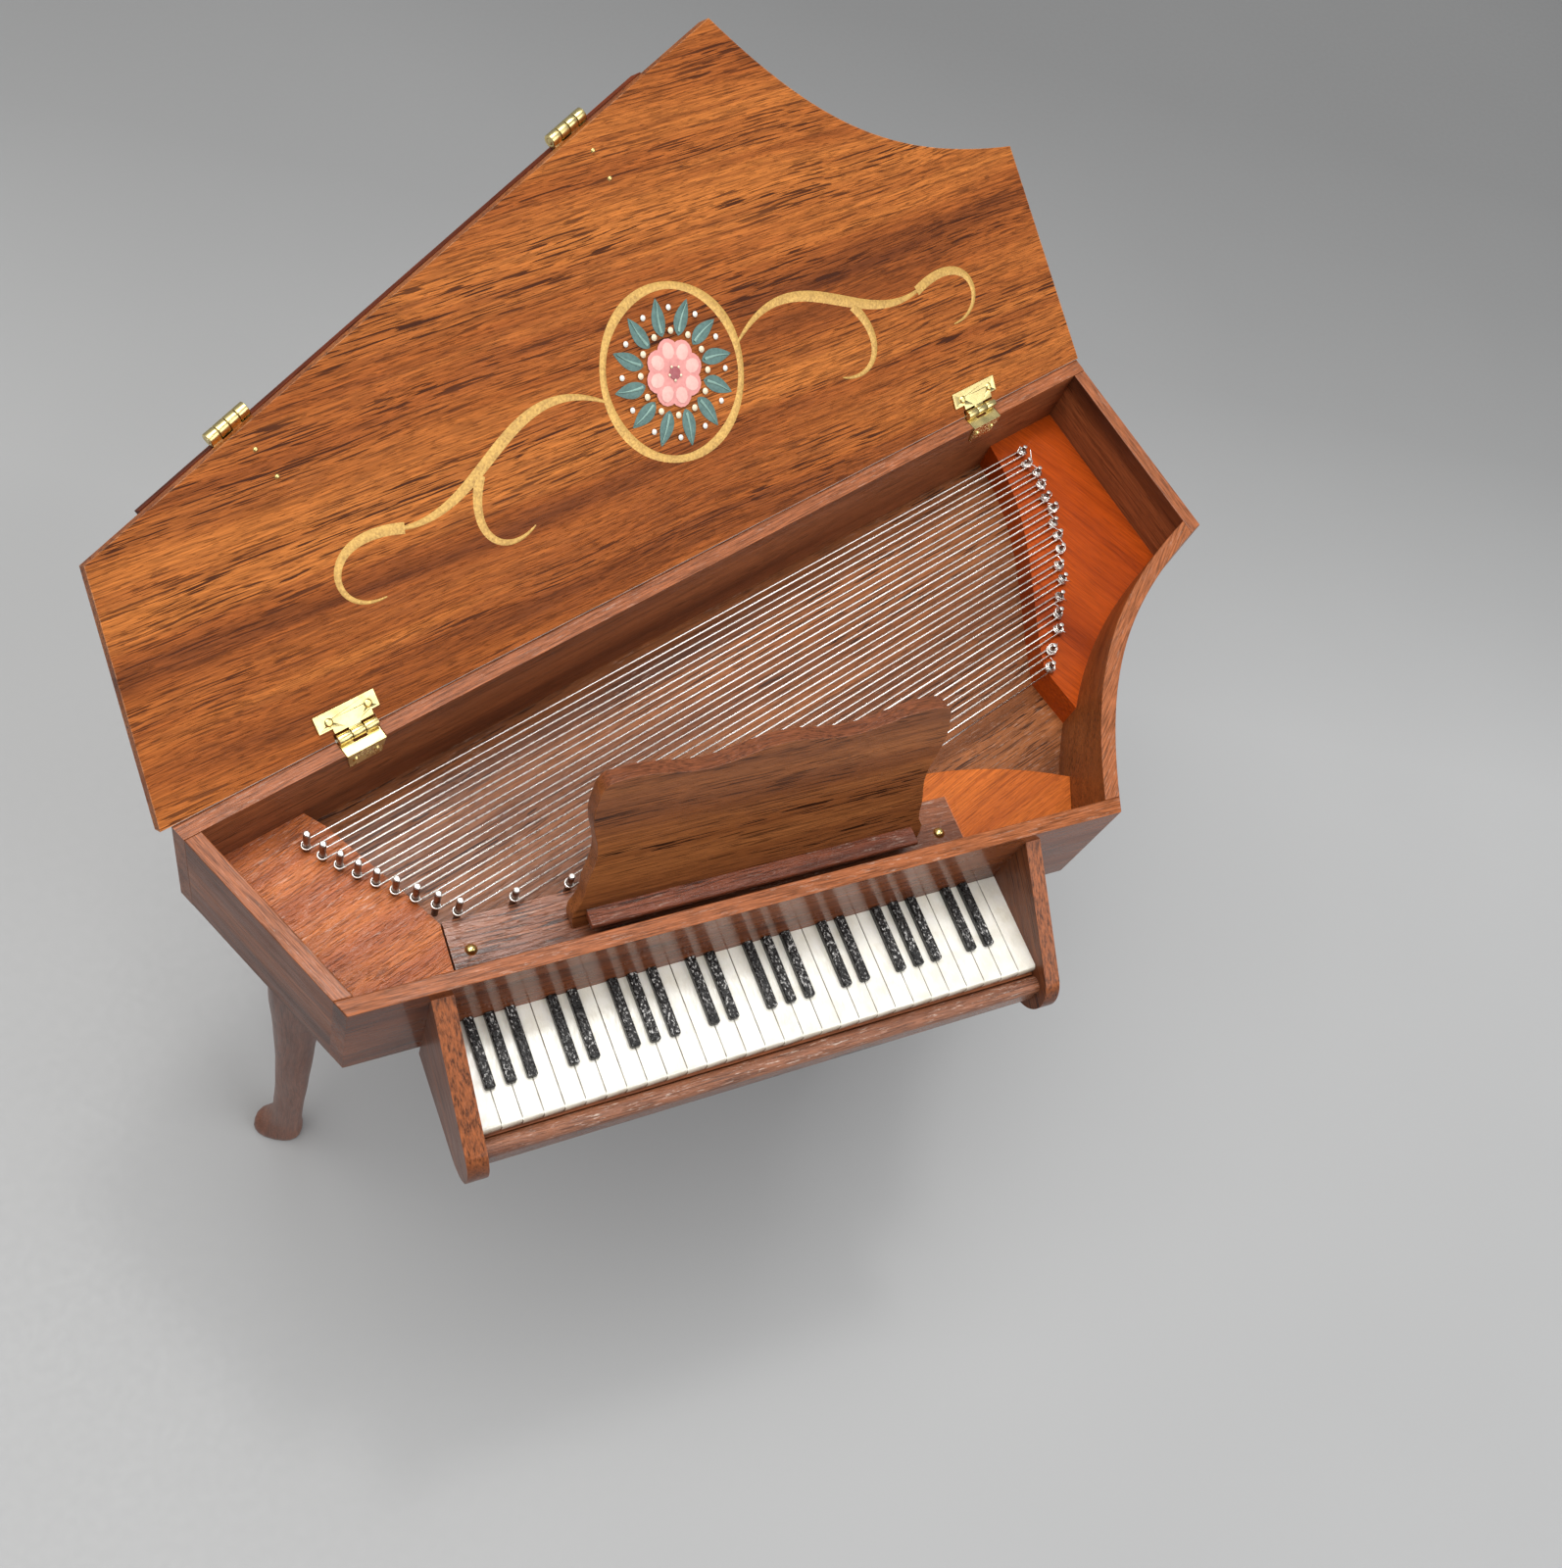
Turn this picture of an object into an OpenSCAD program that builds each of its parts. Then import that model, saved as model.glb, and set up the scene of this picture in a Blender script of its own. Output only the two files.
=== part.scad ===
// Miniature grand piano: case with open lid, folded keyboard flap, hinged
// music desk, strings, keyboard and four cabriole legs.
// Working frame: front left corner of the case at the origin, X along the
// front wall, Y to the back, Z up, top of the rim at z = 0. The whole model
// is then shifted so that its box stands centred on z = 0.
// Lengths written as u(n) are n widths of one white key.

/* [Case] */
// Width of one white key, the module of the whole miniature
key_pitch = 1.96; // [1.8:0.01:2.2]
// Thickness of the case walls, lid and flap stock
board_t = 1.59; // [1.2:0.01:2]
// Height of the case walls
case_h = 13.37; // [11:0.01:15]
// Depth from the rim down to the soundboard
well_depth = 9.6; // [8:0.05:10.5]
// Depth from the rim down to the wrest plank and front plank
plank_depth = 6.86; // [6:0.01:8]
// Depth from the rim down to the hitch pin block
block_depth = 6.47; // [6:0.01:8]
// Number of straight pieces in each curved edge
curve_steps = 28; // [16:1:40]

/* [Lid and flap] */
// Angle the lid opens through
lid_open = 139.5; // [120:0.5:150]
// Gap between the rim and the closed lid
lid_gap = 0.55; // [0.4:0.01:0.8]
// Length of the keyboard flap, hinge edge to free edge
flap_len = 14.5; // [12:0.1:15]
// Half the space between the lid and the folded flap
flap_gap = 0.35; // [0.3:0.01:0.5]

/* [Strings] */
// Radius of the tuning pins
pin_r = 0.32; // [0.25:0.01:0.4]
// Radius of the string wire
wire_r = 0.09; // [0.07:0.01:0.15]
// Number of string loops
loops = 16; // [12:1:18]

/* [Keyboard] */
// Number of white keys
white_keys = 29; // [22:1:36]
// Height of the black keys above the white
black_h = 0.7; // [0.5:0.05:1]

/* [Music desk] */
// Angle the music desk leans back
desk_lean = 15; // [5:1:25]
// Thickness of the music desk panel
desk_t = 1.55; // [1.2:0.01:2]

/* [Legs] */
// Height of the legs below the case
leg_h = 56.0; // [50:0.1:60]

/* [Hidden] */
function u(n) = n*key_pitch;
function uu(p) = [for (c = p) c*key_pitch];
function unit(v) = v/norm(v);
function left(v) = [-v[1], v[0]];
function cross2(a, b) = a[0]*b[1] - a[1]*b[0];
// crossing of the line through p along d with the line through q along e
function meet(p, d, q, e) = p + d*cross2(q - p, e)/cross2(d, e);
function bez(p, s) = p[0]*pow(1-s,3) + p[1]*3*s*pow(1-s,2) + p[2]*3*s*s*(1-s) + p[3]*pow(s,3);
function dbez(p, s) = (p[1]-p[0])*3*pow(1-s,2) + (p[2]-p[1])*6*s*(1-s) + (p[3]-p[2])*3*s*s;

floor_z = -(case_h + leg_h);

// plan corners of the case: spine end, front left, front right, tail right, tail left
pa = uu([-4.748, 10.278]);
pb = [0, 0];
pc = uu([38.922, 0]);
pt = uu([52.118, 14.961]);
ps = uu([50.164, 27.073]);
along = unit(ps - pa);
spine_a = atan2(along[1], along[0]);
inward = -left(along);
ab = unit(pb - pa);
ts = unit(ps - pt);
// bentside: one cubic curve from the front right corner to the tail
bent = [pc, pc + u(8)*unit([0.36, 0.93]), pt - u(8)*unit([0.88, 0.47]), pt];
function bent_out(s) = bez(bent, s);
function bent_in(s) = bez(bent, s) + board_t*left(unit(dbez(bent, s)));
// inner corners
t = board_t;
sp_in = pa + inward*t;
ab_in = pa + left(ab)*t;
ts_in = pt + left(ts)*t;
c1 = meet(ab_in, ab, sp_in, along);
c2 = meet(ab_in, ab, [0, t], [1, 0]);
c5 = meet(ts_in, ts, sp_in, along);
// curve parameter where the inner bentside face has a given y
function s_at_y(y, lo=0, hi=0.8, n=24) = n == 0 ? (lo+hi)/2 :
  bent_in((lo+hi)/2)[1] < y ? s_at_y(y, (lo+hi)/2, hi, n-1) : s_at_y(y, lo, (lo+hi)/2, n-1);
function out_at_y(y, lo=0, hi=0.8, n=24) = n == 0 ? (lo+hi)/2 :
  bent_out((lo+hi)/2)[1] < y ? out_at_y(y, (lo+hi)/2, hi, n-1) : out_at_y(y, lo, (lo+hi)/2, n-1);
// curve parameter where a face meets the inside of the tail wall
function tail_d(p) = cross2(ts, p - pt);
function s_tail(lo=0.5, hi=1, n=24) = n == 0 ? (lo+hi)/2 :
  tail_d(bent_in((lo+hi)/2)) > t ? s_tail((lo+hi)/2, hi, n-1) : s_tail(lo, (lo+hi)/2, n-1);
function out_tail(lo=0.5, hi=1, n=24) = n == 0 ? (lo+hi)/2 :
  tail_d(bent_out((lo+hi)/2)) > t ? out_tail((lo+hi)/2, hi, n-1) : out_tail(lo, (lo+hi)/2, n-1);
s_in0 = s_at_y(t);
s_in1 = s_tail();
function in_pts(a, b, n) = [for (i = [0:n]) bent_in(a + (b-a)*i/n)];
function out_pts(a, b, n) = [for (i = [0:n]) bent_out(a + (b-a)*i/n)];
inner_outline = concat([c1, c2], in_pts(s_in0, s_in1, curve_steps), [c5]);
outer_outline = concat([pa, pb], out_pts(0, 1, curve_steps), [ps]);

// spine coordinates: a along the spine, q inward from its outer face
function sq(a, q) = pa + along*a + inward*q;
function to_a(p) = (p - pa)*along;
function to_q(p) = (p - pa)*inward;

// shift to the common origin
org = [-45.3018, -30.8473, -floor_z];

module placed() translate(org) children();
module spine_frame() translate([pa[0], pa[1], 0]) rotate([0, 0, spine_a]) children();

// lid hinge line: distance in from the spine's outer face, height over the rim
hq = 0.2;
hz = 0.4;
// turns things drawn over the closed case into the open lid's place
module opened()
  translate([pa[0], pa[1], 0]) rotate([0, 0, spine_a])
    translate([0, -hq, hz]) rotate([-lid_open, 0, 0]) translate([0, hq, -hz])
      rotate([0, 0, -spine_a]) translate([-pa[0], -pa[1], 0]) children();

lid_z = lid_gap;
top_z = lid_gap + board_t;
// flap hinge line over the closed case
fy = -0.65;
fz = top_z + flap_gap;

spine_hinges = [u(9.2), u(49.3)];
flap_hinges = [u(8.63), u(29.95)];
barrel_l = u(2.05);
leaf_t = 0.2;
knuckle_r = 0.5;
lid_pin_r = 0.22;

walnut = [0.36, 0.22, 0.13];
red_wood = [0.62, 0.25, 0.12];
brass = [0.8, 0.62, 0.28];

// ---------- case ----------
module board(pts, z0, z1) translate([0, 0, z0]) linear_extrude(z1 - z0) polygon(pts);

module bottom_board() color(walnut) board(inner_outline, -case_h, -case_h + board_t);

module soundboard() color([0.4, 0.25, 0.14]) difference() {
  board(inner_outline, -case_h + board_t, -well_depth);
  for (i = [10:loops]) translate([pin_at(i)[0], pin_at(i)[1], -well_depth - 1.2]) cylinder(r = pin_r + 0.02, h = 2, $fn = 32);
}

module spine() color(walnut) difference() {
  board([pa, meet(sp_in, along, pa, ab), meet(sp_in, along, pt, ts), ps], -case_h, 0);
  for (h = spine_hinges) spine_frame() {
    // recess in the rim for the folded leaf
    translate([h - barrel_l/2 - 0.1, -t - 1, -0.24]) cube([barrel_l + 0.2, t + 2, 1]);
    for (dx = [-1.1, 1.1]) translate([h + dx, -t - 0.5, -1.15]) rotate([-90, 0, 0]) cylinder(r = 0.17, h = 1.5, $fn = 24);
  }
}

module left_wall() color(walnut)
  board([meet(sp_in, along, pa, ab), meet([0, t], [1, 0], pa, ab), c2, c1], -case_h, 0);

module front_wall() color(walnut)
  board(concat([pb], out_pts(0, out_at_y(t), 3), [[bent_in(s_in0)[0], t], c2, meet([0, t], [1, 0], pa, ab)]), -case_h, 0);

module bentside() color(walnut)
  board(concat(out_pts(out_at_y(t), out_tail(), curve_steps), in_pts(s_in1, s_in0, curve_steps)), -case_h, 0);

module tail_wall() color(walnut)
  board([pt, meet(sp_in, along, pt, ts), c5, bent_in(s_in1), bent_out(out_tail())], -case_h, 0);

module wrest_plank() color(red_wood) difference() {
  board([c1, c2, uu([5.53, t/key_pitch]), uu([5.64, 4.34]), uu([4.35, 6.6]), uu([2.9, 8.95]), uu([2.01, 10.41]), sq(u(6.02), t)], -well_depth, -plank_depth);
  for (i = [1:9]) translate([pin_at(i)[0], pin_at(i)[1], -plank_depth - 1.4]) cylinder(r = pin_r + 0.02, h = 2, $fn = 32);
}

module front_plank() color(walnut) difference() {
  board([uu([5.63, t/key_pitch]), [u(32.3), t], uu([32.3, 4.4]), uu([5.74, 4.4])], -well_depth, -plank_depth);
  for (p = plank_nail_at) translate([p[0], p[1], -plank_depth - 1.5]) cylinder(r = 0.2, h = 2, $fn = 24);
}
plank_nail_at = [uu([6.63, 2.78]), uu([31.14, 2.58])];
module plank_nails() color(brass) for (p = plank_nail_at) translate([p[0], p[1], -plank_depth]) {
  translate([0, 0, -1.4]) cylinder(r = 0.18, h = 1.6, $fn = 24);
  intersection() {
    translate([0, 0, -0.2]) sphere(r = 0.62, $fn = 32);
    cylinder(r = 1, h = 1, $fn = 24);
  }
}

treble_s = s_at_y(u(3.8));
module treble_board() color(red_wood)
  board(concat([[u(32.3), t]], in_pts(s_in0, treble_s, 6),
    [for (i = [1:6]) bez([bent_in(treble_s), uu([37.6, 4.75]), uu([35.2, 5.65]), uu([31.6, 5.9])], i/6)],
    [uu([30.0, 5.95]), uu([30.0, 4.4]), uu([32.3, 4.4])]), -well_depth, -plank_depth);

block_s = s_at_y(u(7.4));
block_edge = [[u(44.7), 0], uu([45.2, 19]), uu([42.3, 14.5]), uu([41.1, 10])];
block_top = meet(sp_in, along, [u(44.7), 0], [0, 1]);
module hitchpin_block() color(red_wood) difference() {
  board(concat(in_pts(block_s, s_in1, curve_steps), [c5],
    [for (i = [0:12]) bez([block_top, block_edge[1], block_edge[2], block_edge[3]], i/12)]), -well_depth, -block_depth);
  for (i = [1:loops]) translate([hitch_at(i)[0], hitch_at(i)[1], -block_depth - 1.2]) cylinder(r = 0.24, h = 2, $fn = 24);
}

// ---------- strings ----------
// tuning pins: nine in a slanting row on the wrest plank, the others behind the front plank
function pin_q(i) = u(2.40 + 0.79*(i-1));
function pin_a(i) = i <= 9 ? u(5.15 + 0.33*(i-1) + 0.021*pow(i-1, 2))
  : (u(4.62) - pa[1] - inward[1]*pin_q(i))/along[1];
function pin_at(i) = sq(pin_a(i), pin_q(i));
function hitch_q(i) = u(2.17 + 0.775*(i-1));
function hitch_a(i) = u(52.6 - 0.058*pow(hitch_q(i)/key_pitch - 1.5, 2) + 0.15*sin(i*137));
function hitch_at(i) = sq(hitch_a(i), hitch_q(i));
string_z = -u(3.12);

module tuning_pins() color([0.75, 0.6, 0.35]) for (i = [1:loops]) {
  base = i <= 9 ? -plank_depth - 1.35 : -well_depth - 1.15;
  top = i <= 9 ? -u(1.9) : -u(2.35);
  translate([pin_at(i)[0], pin_at(i)[1], base]) {
    cylinder(r = pin_r, h = top - base - 0.12, $fn = 32);
    translate([0, 0, top - base - 0.12]) cylinder(r1 = pin_r, r2 = pin_r - 0.12, h = 0.12, $fn = 32);
  }
}

module hitch_pins() color([0.7, 0.7, 0.68]) for (i = [1:loops])
  translate([hitch_at(i)[0], hitch_at(i)[1], -block_depth - 1.15]) cylinder(r = 0.22, h = 1.15 + u(0.75), $fn = 24);

// one wire loop: bend round the tuning pin, two runs, two coils round the hitch pin
module string_loop(i) {
  p = pin_at(i);
  h = hitch_at(i);
  bend_r = pin_r + wire_r + 0.03;
  coil_r = 0.22 + wire_r + 0.02;
  d = h - p;
  ang = atan2(d[1], d[0]);
  translate([p[0], p[1], string_z]) {
    rotate([0, 0, ang + 90]) rotate_extrude(angle = 180, $fn = 24) translate([bend_r, 0]) circle(r = wire_r, $fn = 13);
    // the two runs close in slightly towards the hitch pin
    for (sg = [-1, 1]) {
      run = norm(d);
      turn = atan2(bend_r - coil_r, run);
      rotate([0, 0, ang]) translate([0, sg*bend_r, 0]) rotate([0, 0, -sg*turn]) rotate([0, 90, 0])
        cylinder(r = wire_r, h = run/cos(turn), $fn = 13);
    }
  }
  // close coils round the hitch pin
  translate([h[0], h[1], string_z - 0.22]) difference() {
    cylinder(r = coil_r + wire_r, h = 0.56, $fn = 24);
    translate([0, 0, -1]) cylinder(r = coil_r - wire_r, h = 3, $fn = 24);
  }
}
module strings() color([0.8, 0.8, 0.8]) for (i = [1:loops]) string_loop(i);

// ---------- keyboard ----------
keys_x0 = u(4.683);
keys_x1 = keys_x0 + u(white_keys);
key_top = -u(4.672);
key_front = -u(5.175);
key_bot = -u(5.27);
cheek_x0 = u(3.66);
cheek_x1 = keys_x1 + u(0.817);

module keybed() color(walnut)
  translate([keys_x0, -u(5.3), -u(6.5)]) cube([keys_x1 - keys_x0, u(5.3), key_bot + u(6.5)]);

module natural_keys() color([0.93, 0.9, 0.82]) difference() {
  translate([keys_x0, key_front, key_bot]) cube([keys_x1 - keys_x0, -key_front, key_top - key_bot]);
  // scored lines between keys
  for (i = [1:white_keys - 1]) translate([keys_x0 + u(i), 0, key_top]) {
    translate([0, 1, 0]) rotate([90, 0, 0]) linear_extrude(-key_front + 2) polygon([[-0.08, 0.02], [0.08, 0.02], [0, -0.16]]);
    translate([0, key_front - 0.02, -2]) linear_extrude(3) polygon([[-0.07, 0], [0.07, 0], [0, 0.13]]);
  }
  // eased front edge
  translate([keys_x0 - 1, key_front, key_top]) rotate([45, 0, 0]) translate([0, -0.25, -0.25]) cube([keys_x1 - keys_x0 + 2, 0.5, 0.5]);
}

// black keys sit at these scored lines, in groups of two and three
function black_here(i) = let (m = (i + 3) % 7) m != 0 && m != 3;
module sharp_keys() color([0.06, 0.06, 0.06]) for (i = [1:white_keys - 2]) if (black_here(i))
  translate([keys_x0 + u(i), 0, key_top]) {
    w = u(0.25);
    e = 0.14;
    plan = [[-w, 0], [-w, -u(3.45) + e], [-w + e, -u(3.45)], [w - e, -u(3.45)], [w, -u(3.45) + e], [w, 0]];
    linear_extrude(black_h - e) polygon(plan);
    // eased top
    translate([0, 0, black_h - e]) linear_extrude(e, scale = [0.74, 0.982]) polygon(plan);
  }

module key_slip() color(walnut) {
  x0 = keys_x0;
  l = keys_x1 - keys_x0;
  translate([x0, -u(6.2), -u(6.5)]) cube([l, u(0.9), u(0.95)]);
  // rounded top
  translate([x0, -u(5.75), -u(5.55)]) rotate([0, 90, 0]) cylinder(r = u(0.45), h = l, $fn = 48);
}

module cheek(x0, w) {
  nose_r = u(1.75);
  cy = -u(5.1);
  cz = -u(5.98);
  p0 = [0, -u(0.75)];
  // the sloping top edge leaves the round nose as a tangent
  v = p0 - [cy, cz];
  dd = norm(v);
  ta = atan2(v[1], v[0]) + acos(nose_r/dd);
  tp = [cy, cz] + nose_r*[cos(ta), sin(ta)];
  translate([x0, 0, 0]) rotate([90, 0, 90]) union() {
    linear_extrude(w) polygon([p0, tp, [cy, cz], [cy, cz - nose_r], [0, cz - nose_r]]);
    translate([cy, cz, 0]) cylinder(r = nose_r, h = w, $fn = 64);
  }
}
module key_cheek_left() color(walnut) cheek(cheek_x0, keys_x0 - cheek_x0);
module key_cheek_right() color(walnut) cheek(keys_x1, cheek_x1 - keys_x1);

// ---------- music desk ----------
desk_x = u(20.6);
desk_y = u(2.5);
desk_z = -plank_depth;
desk_axis_y = u(4.15);
desk_axis_z = -u(2.05);
desk_foot = 0.12;
// half width and top edge of the panel
function desk_w(s) = 8.55 + 0.2*cos(360*(s - 2.4)/5.2) + 0.8*desk_flare(1 - (s - 0.7)/1.5);
function desk_flare(f) = let (g = min(1, max(0, f))) g*g*(3 - 2*g);
function desk_top(x) = 9.42 + 0.27*cos(360*x/7.1);
module desk_face() translate([desk_x, desk_y, desk_z]) rotate([-desk_lean, 0, 0]) rotate([90, 0, 0]) children();
module desk_panel() color([0.38, 0.27, 0.15]) difference() {
  desk_face() translate([0, 0, -desk_t]) linear_extrude(desk_t) {
    polygon(concat(
      [for (i = [0:15]) let (s = i*0.58) uu([desk_w(s), s])],
      [for (i = [1:4]) let (a = i*18) uu([desk_w(8.7) - 0.72 + 0.72*cos(a), 8.7 + (desk_top(7.9) - 8.7)*sin(a)])],
      [for (i = [0:30]) let (x = 7.9 - i*15.8/30) uu([x, desk_top(x)])],
      [for (i = [4:-1:1]) let (a = i*18) uu([-desk_w(8.7) + 0.72 - 0.72*cos(a), 8.7 + (desk_top(7.9) - 8.7)*sin(a)])],
      [for (i = [15:-1:0]) let (s = i*0.58) uu([-desk_w(s), s])]));
  }
  // foot cut level, just clear of the plank
  translate([0, 0, desk_z + desk_foot - 5]) cube([u(60), u(8), 5]);
}
module desk_ledge() color([0.55, 0.33, 0.16])
  translate([u(12.0), 0, 0]) rotate([90, 0, 90]) linear_extrude(u(17.15)) polygon([
    uu([1.98, -2.6]), uu([1.9, -2.52]), uu([1.9, -2.32]), uu([1.98, -2.24]),
    [desk_y + (plank_depth - u(2.24))*tan(desk_lean), -u(2.24)], [desk_y + (plank_depth - u(2.6))*tan(desk_lean), -u(2.6)]]);

desk_pin_r = 0.25;
bracket_x = [u(12.6), u(28.05)];
lug_x = [u(13.3), u(27.35)];
bw = u(0.6);
module desk_brackets() color([0.3, 0.2, 0.12]) for (x = bracket_x) translate([x, desk_axis_y, 0]) difference() {
  union() {
    translate([0, -u(0.3), -plank_depth]) cube([bw, u(0.6) - 0.05, plank_depth + desk_axis_z]);
    translate([0, 0, desk_axis_z]) rotate([0, 90, 0]) cylinder(r = u(0.3), h = bw, $fn = 40);
  }
  translate([-1, 0, desk_axis_z]) rotate([0, 90, 0]) cylinder(r = desk_pin_r + 0.01, h = 4, $fn = 32);
}
module desk_lugs() color([0.38, 0.27, 0.15]) for (x = lug_x) difference() {
  union() {
    translate([x, desk_axis_y, desk_axis_z]) rotate([0, 90, 0]) cylinder(r = u(0.3), h = bw, $fn = 40);
    // web to the back of the panel
    translate([x, 0, 0]) rotate([90, 0, 90]) linear_extrude(bw) polygon([
      [desk_back(desk_axis_z - u(0.55)), desk_axis_z - u(0.55)],
      [desk_axis_y, desk_axis_z - u(0.3)], [desk_axis_y, desk_axis_z + u(0.3)],
      [desk_back(desk_axis_z + u(0.55)), desk_axis_z + u(0.55)]]);
  }
  translate([x - 1, desk_axis_y, desk_axis_z]) rotate([0, 90, 0]) cylinder(r = desk_pin_r + 0.05, h = 4, $fn = 32);
}
// y of the panel's back face at height z
function desk_back(z) = desk_y + (z - desk_z)*tan(desk_lean) + desk_t/cos(desk_lean);
module desk_pivot_pins() color(brass) {
  for (p = [[u(12.45), u(13.98)], [u(27.27), u(28.8)]])
    translate([p[0], desk_axis_y, desk_axis_z]) rotate([0, 90, 0]) cylinder(r = desk_pin_r, h = p[1] - p[0], $fn = 32);
}

// ---------- legs ----------
// profile by share of the height, top to floor: [share, forward, half length, half width]
leg_rows = [[0, -0.15, 1.3, 1.3], [0.06, -0.02, 1.45, 1.35], [0.16, 0.08, 1.4, 1.25], [0.3, 0.12, 1.18, 1.1],
  [0.48, 0.18, 1.02, 0.98], [0.66, 0.32, 0.92, 0.9], [0.82, 0.52, 0.88, 0.86], [0.9, 0.66, 0.94, 0.88],
  [0.945, 0.9, 1.15, 0.98], [0.975, 1.1, 1.42, 1.06], [0.992, 1.16, 1.48, 1.06], [1, 1.16, 1.38, 0.97]];
function leg_mix(s, c, i = 0) = i >= len(leg_rows) - 2 || s <= leg_rows[i+1][0] ?
  let (a = leg_rows[i], b = leg_rows[i+1], f = (s - a[0])/(b[0] - a[0]), g = (1 - cos(180*f))/2)
    a[c] + (b[c] - a[c])*(c == 1 || s < 0.9 ? 0.5*f + 0.5*g : f) : leg_mix(s, c, i + 1);
leg_n = 20;
leg_steps = [for (i = [0:20]) i*0.9/20, 0.92, 0.935, 0.95, 0.962, 0.975, 0.984, 0.992, 1];
module cabriole(p, toe) translate([p[0], p[1], -case_h]) rotate([0, 0, toe]) {
  m = len(leg_steps);
  pts = [for (s = leg_steps) for (j = [0:leg_n - 1]) let (a = 360*j/leg_n, sx = cos(a), sy = sin(a))
    [u(leg_mix(s, 1) + leg_mix(s, 2)*sign(sx)*pow(abs(sx), 0.8)), u(leg_mix(s, 3)*sign(sy)*pow(abs(sy), 0.8)), -s*leg_h]];
  polyhedron(points = pts, faces = concat(
    [[for (j = [0:leg_n - 1]) j]],
    [for (i = [0:m - 2]) for (j = [0:leg_n - 1]) [i*leg_n + j, (i + 1)*leg_n + j, (i + 1)*leg_n + (j + 1)%leg_n]],
    [for (i = [0:m - 2]) for (j = [0:leg_n - 1]) [i*leg_n + j, (i + 1)*leg_n + (j + 1)%leg_n, i*leg_n + (j + 1)%leg_n]],
    [[for (j = [leg_n - 1:-1:0]) (m - 1)*leg_n + j]]), convexity = 4);
}
module leg_left() color(walnut) cabriole(uu([-0.4, 5.7]), 150);
module leg_right() color(walnut) cabriole(uu([36.6, 3.2]), -45);
module leg_tail() color(walnut) cabriole(uu([48.4, 18.6]), 0);
module leg_spine() color(walnut) cabriole(uu([13.5, 13.2]), 107);

// ---------- lid ----------
module main_lid() color(walnut) opened() difference() {
  board(concat([sq(-u(0.55), hq), pb],
    out_pts(0, 1, curve_steps), [sq(to_a(ps), hq)]), lid_z, top_z);
  for (h = spine_hinges) spine_frame() {
    // room for the hinge barrel in the back edge
    translate([h - barrel_l/2 - 0.15, -hq, hz]) rotate([0, 90, 0]) cylinder(r = 0.65, h = barrel_l + 0.3, $fn = 40);
    for (dx = [-2.1, 1.87]) translate([h + dx, -hq - u(0.93), lid_z - 0.5]) cylinder(r = 0.17, h = 1.7, $fn = 24);
  }
  for (x = flap_hinges, y = [u(1), u(2.4)]) translate([x, y, lid_z - 1]) cylinder(r = 0.2, h = 4, $fn = 24);
}

module keyboard_flap() color(walnut) opened() difference() {
  translate([u(3.45), 0, fz + flap_gap]) cube([u(31.55), flap_len, board_t]);
  for (x = flap_hinges, dx = [-1.35, 1.35]) translate([x + dx, 2.9, fz]) cylinder(r = 0.2, h = 1.6, $fn = 24);
}

// spine hinges
kl = (barrel_l - 0.2)/3;
module lid_hinge_case_leaves() color(brass) for (h = spine_hinges) spine_frame() translate([h, 0, 0]) difference() {
  union() {
    for (sx = [-1, 1]) translate([sx*(kl + 0.1) - kl/2, -hq, hz]) rotate([0, 90, 0]) cylinder(r = knuckle_r, h = kl, $fn = 40);
    // over the rim
    difference() {
      translate([-barrel_l/2, -t - leaf_t, -0.22]) cube([barrel_l, t + leaf_t - 0.02, leaf_t]);
      translate([-kl/2 - 0.1, -hq - 0.62, -1]) cube([kl + 0.2, 2, 2]);
    }
    // down the inner face, narrowing
    translate([0, -t, 0]) rotate([90, 0, 0]) linear_extrude(leaf_t)
      polygon([[-barrel_l/2, -0.02], [barrel_l/2, -0.02], [barrel_l/2 - 0.35, -2.2], [-barrel_l/2 + 0.35, -2.2]]);
  }
  translate([-barrel_l, -hq, hz]) rotate([0, 90, 0]) cylinder(r = lid_pin_r + 0.01, h = 2*barrel_l, $fn = 32);
  for (dx = [-1.1, 1.1]) translate([dx, -t - 0.5, -1.15]) rotate([-90, 0, 0]) cylinder(r = 0.17, h = 0.8, $fn = 24);
}
module lid_hinge_pins() color(brass) for (h = spine_hinges) spine_frame()
  translate([h - barrel_l/2, -hq, hz]) rotate([0, 90, 0]) cylinder(r = lid_pin_r, h = barrel_l, $fn = 32);
module case_leaf_nails() color(brass) for (h = spine_hinges, dx = [-1.1, 1.1]) spine_frame()
  translate([h + dx, -t - leaf_t, -1.15]) rotate([-90, 0, 0]) {
    cylinder(r = 0.15, h = 1.1, $fn = 24);
    translate([0, 0, -0.16]) cylinder(r1 = 0.2, r2 = 0.34, h = 0.16, $fn = 32);
  }
module lid_hinge_lid_leaves() color(brass) opened() for (h = spine_hinges) spine_frame() translate([h, -hq, 0]) difference() {
  union() {
    translate([-kl/2, 0, hz]) rotate([0, 90, 0]) cylinder(r = knuckle_r, h = kl, $fn = 40);
    translate([-kl/2, -0.75, lid_z - leaf_t]) cube([kl, 0.75, leaf_t]);
    translate([-barrel_l/2, -u(0.62), lid_z - leaf_t]) cube([barrel_l, u(0.62) - 0.68, leaf_t]);
    translate([-u(1.7), -u(1.42), lid_z - leaf_t]) cube([u(3.15), u(0.82), leaf_t]);
  }
  translate([-barrel_l, 0, hz]) rotate([0, 90, 0]) cylinder(r = lid_pin_r + 0.05, h = 2*barrel_l, $fn = 32);
  for (dx = [-2.1, 1.87]) translate([dx, -u(0.93), lid_z - 0.5]) cylinder(r = 0.17, h = 0.8, $fn = 24);
}
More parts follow.
